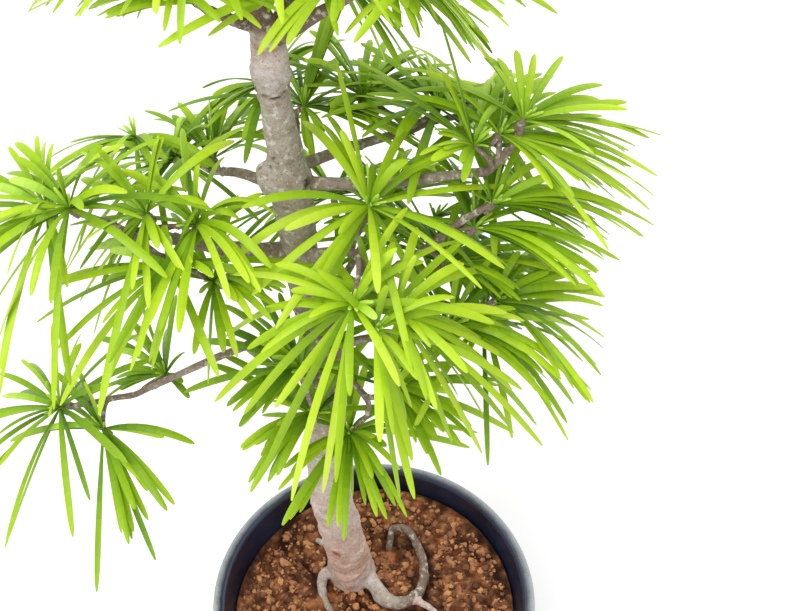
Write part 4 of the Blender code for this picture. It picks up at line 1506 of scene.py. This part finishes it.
def in_picture(places):
    """Where places in millimetres fall in the picture, in pixels, and the pixels to a millimetre."""
    seen = (places - eye) @ turned_camera
    scale = FOCAL_PIXELS / -seen[:, 2]
    columns = PICTURE_WIDTH / 2 + seen[:, 0] * scale
    return np.column_stack((columns, PICTURE_HEIGHT / 2 - seen[:, 1] * scale)), scale


def gap_distance(pixels, gap):
    """How far pixels are from the middle line of a gap."""
    start, end = np.array(gap[:2], float), np.array(gap[2:4], float)
    along = end - start
    t = np.clip((pixels - start) @ along / max(along @ along, 1e-9), 0, 1)
    return np.linalg.norm(pixels - start - t[:, None] * along, axis=1)


def closes_a_gap(root, heading, length, droop, width):
    """True where a needle would cross a gap of the crown in the photograph."""
    t = np.linspace(0.12, 1, 9)[:, None]
    places = np.array(root) + (np.array(heading) * t + np.array((0, 0, -0.5)) * droop * t**2) * length
    pixels, scale = in_picture(places)
    reach = width * 0.35 * scale
    return any(((gap_distance(pixels, gap) < gap[4] + reach) & (scale > gap[5])).any() for gap in GAPS)


print("the trunk's foot falls at pixel", in_picture(np.array([(-11.1, 21.8, 77.0)]))[0].round())

# %% [markdown]
# ## The needles that the photograph shows
#
# Some tufts are seen so well that single needles can be read off: where the tip is, and how the blade
# bends on its way. With a length that is usual for the kind, that gives each one its turn about the
# tuft and its lean in degrees, its length in millimetres and its droop. They are kept here by mass
# and by tuft. The rule grows the far side of these tufts, and the whole of the others.

# %% The read needles: turn, lean, length, droop
SHOWN = {
    "foliage_front": {
        0: (
            (37, 53, 55, 0.3), (24, 81, 50, 0.9), (345, 77, 51, 0.7), (324, 67, 51, 0.9),
            (308, 104, 49, 0.5), (292, 66, 51, 0.5), (245, 50, 49, 0.8), (219, 46, 51, 0.7),
            (271, 105, 33, 0.5), (245, 121, 49, 0.4), (186, 66, 54, 1.0), (167, 56, 51, 0.3),
            (149, 89, 33, 0.2), (156, 102, 49, 0.2), (144, 96, 51, 0.4), (124, 98, 47, 0.7),
            (97, 92, 50, 1.3), (111, 82, 34, 0.5), (95, 72, 55, 0.8), (0, 83, 23, 0.9),
            (129, 62, 22, 0.8), (306, 112, 15, 0.9),
        ),
        1: (
            (161, 116, 58, 0.7), (173, 125, 55, 0.8), (172, 79, 51, 0.6), (171, 55, 31, 0.8),
            (99, 50, 21, 0.8), (234, 29, 13, 0.8), (209, 58, 29, 0.8), (105, 122, 54, 1.0),
            (71, 120, 52, 1.3), (100, 89, 35, 0.9), (121, 128, 49, 0.8), (141, 126, 43, 0.2),
            (148, 118, 57, 0.6), (69, 76, 23, 0.8),
        ),
        2: (
            (175, 61, 39, 0.5), (199, 124, 58, 0.3), (210, 123, 39, 0.5), (205, 123, 58, 0.4),
            (219, 51, 21, 0.9),
        ),
        3: (
            (182, 42, 39, 0.8), (191, 54, 39, 0.5), (227, 45, 32, 0.9), (253, 125, 54, 0.7),
            (250, 124, 37, 0.9), (225, 125, 51, 0.4), (233, 119, 58, 0.5), (248, 113, 59, 0.6),
            (248, 101, 64, 0.8), (262, 108, 64, 1.1), (287, 95, 50, 1.1), (297, 105, 36, 1.2),
            (209, 34, 21, 0.8),
        ),
    },
    "foliage_left": {
        1: (
            (218, 86, 30, 0.7), (193, 80, 36, 0.5), (192, 66, 34, 0.6), (70, 98, 21, 0.9),
            (101, 119, 50, 0.8), (90, 107, 33, 0.6), (163, 32, 30, 0.7), (100, 110, 43, 0.5),
            (31, 71, 31, 0.7), (271, 63, 37, 1.2), (217, 66, 19, 0.9), (169, 90, 66, 0.3),
            (58, 66, 14, 0.8),
        ),
        2: (
            (278, 55, 31, 1.4), (279, 58, 53, 1.4), (252, 58, 54, 1.3), (226, 55, 52, 1.0),
            (192, 66, 51, 0.3), (120, 126, 59, 0.2), (178, 61, 63, 0.5), (185, 62, 49, 0.4),
            (234, 59, 63, 0.8), (234, 56, 60, 0.8),
        ),
        4: (
            (186, 60, 32, 0.7), (189, 75, 41, 0.4), (202, 71, 30, 0.7), (214, 65, 39, 0.8),
            (252, 29, 39, 0.7), (200, 32, 15, 0.7), (249, 50, 54, 0.8), (243, 59, 48, 0.9),
            (237, 53, 48, 0.8), (240, 47, 39, 0.8), (258, 62, 45, 0.9), (258, 53, 42, 0.8),
        ),
    },
    "foliage_right_high": {
        0: (
            (346, 59, 33, 0.5), (314, 41, 34, 0.8), (313, 64, 27, 0.6), (304, 71, 44, 0.4),
            (294, 80, 59, 0.4), (295, 74, 52, 0.7), (292, 83, 48, 0.5), (21, 62, 30, 0.6),
            (35, 65, 30, 0.8), (10, 55, 27, 0.5), (57, 59, 33, 0.8), (281, 85, 55, 0.5),
            (205, 46, 33, 0.6),
        ),
        1: (
            (280, 76, 60, 0.8), (288, 78, 53, 0.6), (276, 77, 58, 0.9), (218, 48, 55, 0.4),
            (195, 50, 44, 0.8), (210, 63, 54, 0.8),
        ),
        2: (
            (61, 47, 50, 0.3), (55, 89, 57, 0.5), (79, 74, 18, 1.0), (157, 75, 19, 0.8),
            (116, 79, 26, 0.7),
        ),
    },
    "foliage_right": {
        0: (
            (289, 54, 63, 1.2), (288, 58, 58, 1.3), (293, 72, 42, 0.9), (314, 74, 31, 0.8),
            (284, 72, 45, 1.0),
        ),
        1: (
            (259, 41, 54, 1.0), (288, 74, 44, 0.9), (282, 75, 32, 0.8), (236, 41, 49, 1.1),
            (216, 38, 60, 1.0),
        ),
        2: (
            (280, 47, 57, 1.0), (311, 87, 36, 1.0), (217, 34, 38, 1.1),
        ),
    },
    "foliage_right_low": {
        0: (
            (284, 87, 51, 1.0), (305, 50, 31, 0.7), (203, 48, 56, 1.0), (295, 62, 46, 0.9),
            (211, 38, 54, 1.1),
        ),
        1: (
            (292, 94, 45, 1.1), (239, 32, 49, 1.2),
        ),
    },
    "foliage_front_low": {
        0: (
            (228, 26, 48, 1.0), (221, 30, 43, 1.1), (204, 38, 31, 0.9), (187, 32, 39, 1.1),
            (189, 31, 50, 1.2), (278, 65, 23, 0.8),
        ),
        1: (
            (164, 43, 52, 0.9), (159, 57, 42, 0.6), (183, 43, 34, 0.9), (194, 43, 31, 0.8),
            (197, 46, 41, 0.8), (205, 38, 42, 0.8), (210, 36, 48, 1.0), (136, 64, 43, 0.8),
            (135, 60, 50, 0.7), (117, 59, 42, 0.9), (257, 38, 18, 0.9), (231, 32, 33, 0.8),
            (207, 23, 36, 0.9),
        ),
    },
    "foliage_front_left": {
        0: (
            (109, 38, 37, 0.9), (119, 36, 37, 0.8), (132, 33, 40, 0.9), (39, 32, 33, 0.8),
            (24, 44, 30, 0.8),
        ),
        1: (
            (102, 47, 36, 1.0), (108, 45, 30, 0.9), (129, 37, 45, 1.0), (135, 36, 48, 1.0),
        ),
    },
    "foliage_left_low": {
        1: (
            (265, 86, 42, 1.0), (263, 87, 28, 0.8), (230, 91, 43, 0.8), (226, 85, 47, 0.7),
            (207, 95, 52, 0.7), (202, 86, 50, 0.4), (186, 85, 61, 0.5),
        ),
        2: (
            (228, 83, 17, 0.9), (291, 58, 17, 0.9), (24, 88, 17, 0.9), (63, 66, 26, 0.9),
            (80, 79, 30, 1.0),
        ),
    },
    "foliage_top_left": {
        1: (
            (70, 77, 36, 0.7),
        ),
    },
    "foliage_top_right": {
        3: (
            (118, 100, 60, 0.6), (112, 105, 42, 0.8), (135, 90, 37, 1.0), (139, 93, 33, 0.9),
            (161, 68, 22, 0.9), (220, 60, 24, 0.7), (291, 116, 40, 0.7),
        ),
        2: (
            (200, 82, 22, 0.6), (293, 112, 46, 0.5),
        ),
        1: (
            (282, 113, 40, 0.6), (212, 47, 41, 0.7), (287, 72, 48, 0.9),
        ),
    },
    "foliage_back_right": {
        2: (
            (290, 59, 57, 0.9), (300, 46, 40, 0.8), (314, 38, 34, 0.8), (194, 79, 18, 0.9),
            (140, 79, 19, 0.9),
        ),
    },
    "foliage_back": {
        1: (
            (324, 27, 45, 0.2), (191, 109, 24, 0.6), (203, 88, 18, 0.9), (233, 84, 45, 0.8),
            (242, 80, 48, 0.8),
        ),
        0: (
            (58, 74, 31, 0.9), (142, 86, 31, 0.8), (53, 86, 24, 0.9), (166, 110, 33, 0.7),
            (141, 81, 28, 0.7),
        ),
    },
    "foliage_back_left": {
        2: (
            (54, 26, 40, 1.2), (339, 41, 27, 0.5), (62, 27, 41, 0.9), (35, 38, 30, 0.7),
        ),
    },
}
shown_count = sum(len(rows) for tufts in SHOWN.values() for rows in tufts.values())
print("needles read from the photograph:", shown_count)

# %% [markdown]
# ## Growing every tuft
#
# The tufts in front are fresh lime, and those inside, low and behind are deeper: partly their own
# colour and partly painted shade, since they lie in the crown's shade. The last needles in the middle
# of each tuft are young and minty. The table gives each mass its first rung on the ladder of greens,
# how many rungs its needles climb, how wide they are and how many there are to a tuft. Tufts that
# stand low or further back have more, because fewer of them have to fill the crown. A bud of tiny
# needles closes each short shoot.

# %% Grow the needles
# The lower first rungs of the low and back masses are partly painted shade.
LOOKS = {
    "foliage_front": (15, 10, 3.0, 25),
    "foliage_left": (12, 11, 3.0, 25),
    "foliage_right_high": (13, 10, 2.9, 30),
    "foliage_right": (10, 11, 2.9, 34),
    "foliage_right_low": (9, 12, 2.9, 34),
    "foliage_front_low": (10, 12, 3.0, 38),
    "foliage_front_left": (8, 11, 3.0, 38),
    "foliage_left_low": (9, 10, 2.9, 25),
    "foliage_top_right": (12, 11, 3.0, 28),
    "foliage_top_left": (12, 11, 3.0, 28),
    "foliage_top": (12, 12, 3.0, 30),
    "foliage_back_left": (9, 10, 3.0, 32),
    "foliage_back_right": (11, 10, 3.1, 36),
    "foliage_back": (10, 11, 3.1, 36),
    "foliage_back_low": (7, 10, 3.0, 34),
    "foliage_top_back": (10, 11, 3.0, 32),
}
NEAR_SHARE = 0.6
LIKE_TURN = 14
LIKE_LEAN = 10
YOUNG_LENGTH = 17
YOUNG_NEEDLES = 2
FAR_SIDE = 0.05
SOIL_CLEARANCE = 4
BUD_NEEDLES = 6
BUD_WIDTH = 0.46
BUD_LEANS = (8, 48)
BUD_LENGTHS = (5, 11)
BUD_DROOP = 0.4
NEEDLE_EDGE = math.radians(30)


def add_needle(needles, root, heading, length, droop, looks, young, axis, rng):
    """One needle, bent and coloured, added to the lists of its mass."""
    rung, climb, width, _ = looks
    width *= rng.uniform(0.86, 1.1)
    needles["copies"].append(bent_needle(root, heading, length, droop, width, axis, rng))
    rung += rng.choice((-4, -2, 0, 2, 4))
    climb += rng.choice((-2, 0, 2))
    needles["colours"].append(needle_colours(rung, climb, young))


def grow_tuft(centre, owner, looks, shown, rng, needles):
    """The needles of one tuft: those that the photograph shows, some like them, and the rule's."""
    axis = facing(centre)
    width, count = looks[2:]

    def fits(root, heading, length, droop):
        """True where a needle stays over the soil, out of the gaps and clear of the limbs."""
        line = [needle_arc(root, heading, length, droop, t) for t in (0, OUTER_ROOT_AT, SHOULDER_AT, 1)]
        if line[-1].z < SOIL_TOP / MM + SOIL_CLEARANCE:
            return False
        return not closes_a_gap(root, heading, length, droop, width) and has_room(line, width, owner)

    for turn, lean, length, droop in shown:
        heading = tuft_heading(axis, math.radians(turn), math.radians(lean))
        root = centre + heading * ROOT_INSET
        add_needle(needles, root, heading, length, droop, looks, length < YOUNG_LENGTH, axis, rng)
    alike = max(round(count * NEAR_SHARE) - len(shown), 0) if shown else 0
    for _ in range(alike):
        turn, lean, length, droop = rng.choice(shown)
        turn += rng.uniform(-LIKE_TURN, LIKE_TURN)
        lean += rng.uniform(-LIKE_LEAN, LIKE_LEAN)
        heading = tuft_heading(axis, math.radians(turn), math.radians(lean))
        root = centre + heading * ROOT_INSET
        length *= rng.uniform(0.7, 0.98)
        if fits(root, heading, length, droop):
            add_needle(needles, root, heading, length, droop, looks, False, axis, rng)
    for index in range(count):
        for attempt in range(TRIES):
            heading, length = needle_heading(axis, index, count, rng, 1 + attempt * 0.5)
            if shown and heading.y < FAR_SIDE:
                break
            length *= 1 - attempt * 0.03
            droop = NEEDLE_DROOP * rng.uniform(0.7, 1.3)
            root = centre + heading * ROOT_INSET
            if fits(root, heading, length, droop):
                young = index >= count - YOUNG_NEEDLES
                add_needle(needles, root, heading, length, droop, looks, young, axis, rng)
                break
    slim = (*looks[:2], width * BUD_WIDTH, count)
    for index in range(BUD_NEEDLES):
        heading = tuft_heading(axis, index * GOLDEN_ANGLE, math.radians(rng.uniform(*BUD_LEANS)))
        length = rng.uniform(*BUD_LENGTHS)
        add_needle(needles, centre, heading, length, BUD_DROOP, slim, True, axis, rng)


needle_count = 0
for owner, (name, (rng, centres, _)) in enumerate(grown.items()):
    needles = {"copies": [], "colours": []}
    for number, centre in enumerate(centres):
        grow_tuft(centre, owner, LOOKS[name], SHOWN.get(name, {}).get(number, ()), rng, needles)
    mesh = joined_mesh(f"{name}_needles", blade, needles["copies"], needles["colours"], leaf_materials)
    mesh.set_sharp_from_angle(angle=NEEDLE_EDGE)
    new_piece(f"{name}_needles", mesh, None, [name])
    needle_count += len(needles["copies"])
print("needles:", needle_count)

# %% [markdown]
# ## Floor and light
#
# The photograph is high in key: a white ground, hardly a shadow, and light that comes from all round
# with a little more from above. A bright even world does most of that, and one wide soft lamp above
# the front gives the needles their shine and the undersides their depth.

# %% Lay the floor and light the scene
builder = bmesh.new()
bmesh.ops.create_grid(builder, x_segments=2, y_segments=2, size=4)
floor_mesh = mesh_from(builder, "floor")
floor = bpy.data.objects.new("floor", floor_mesh)
floor.location.z = -0.5 * MM
scene.collection.objects.link(floor)
floor_finish, floor_tree, floor_shader = new_finish("pale_floor")
inputs = {
    "Base Color": (0.94, 0.94, 0.94, 1),
    "Roughness": 0.9,
    "Emission Color": (1, 1, 1, 1),
    "Emission Strength": 0.12,
}
feed(floor_tree, floor_shader, inputs)
floor_mesh.materials.append(floor_finish)

world = bpy.data.worlds.new("studio")
world.use_nodes = True
background = world.node_tree.nodes["Background"]
feed(world.node_tree, background, {"Color": (1, 1, 1, 1), "Strength": 0.8})
scene.world = world


def soft_lamp(name, place, size, power):
    """A square lamp that faces the plant."""
    data = bpy.data.lights.new(name, "AREA")
    data.size = size
    data.energy = power
    lamp = bpy.data.objects.new(name, data)
    lamp.location = place
    lamp.rotation_euler = (Vector((0, 0, 0.3)) - Vector(place)).to_track_quat("-Z", "Y").to_euler()
    scene.collection.objects.link(lamp)


soft_lamp("key", (-0.45, -0.5, 1.5), 0.9, 14)
soft_lamp("back", (0.5, 0.7, 1.3), 0.8, 6)
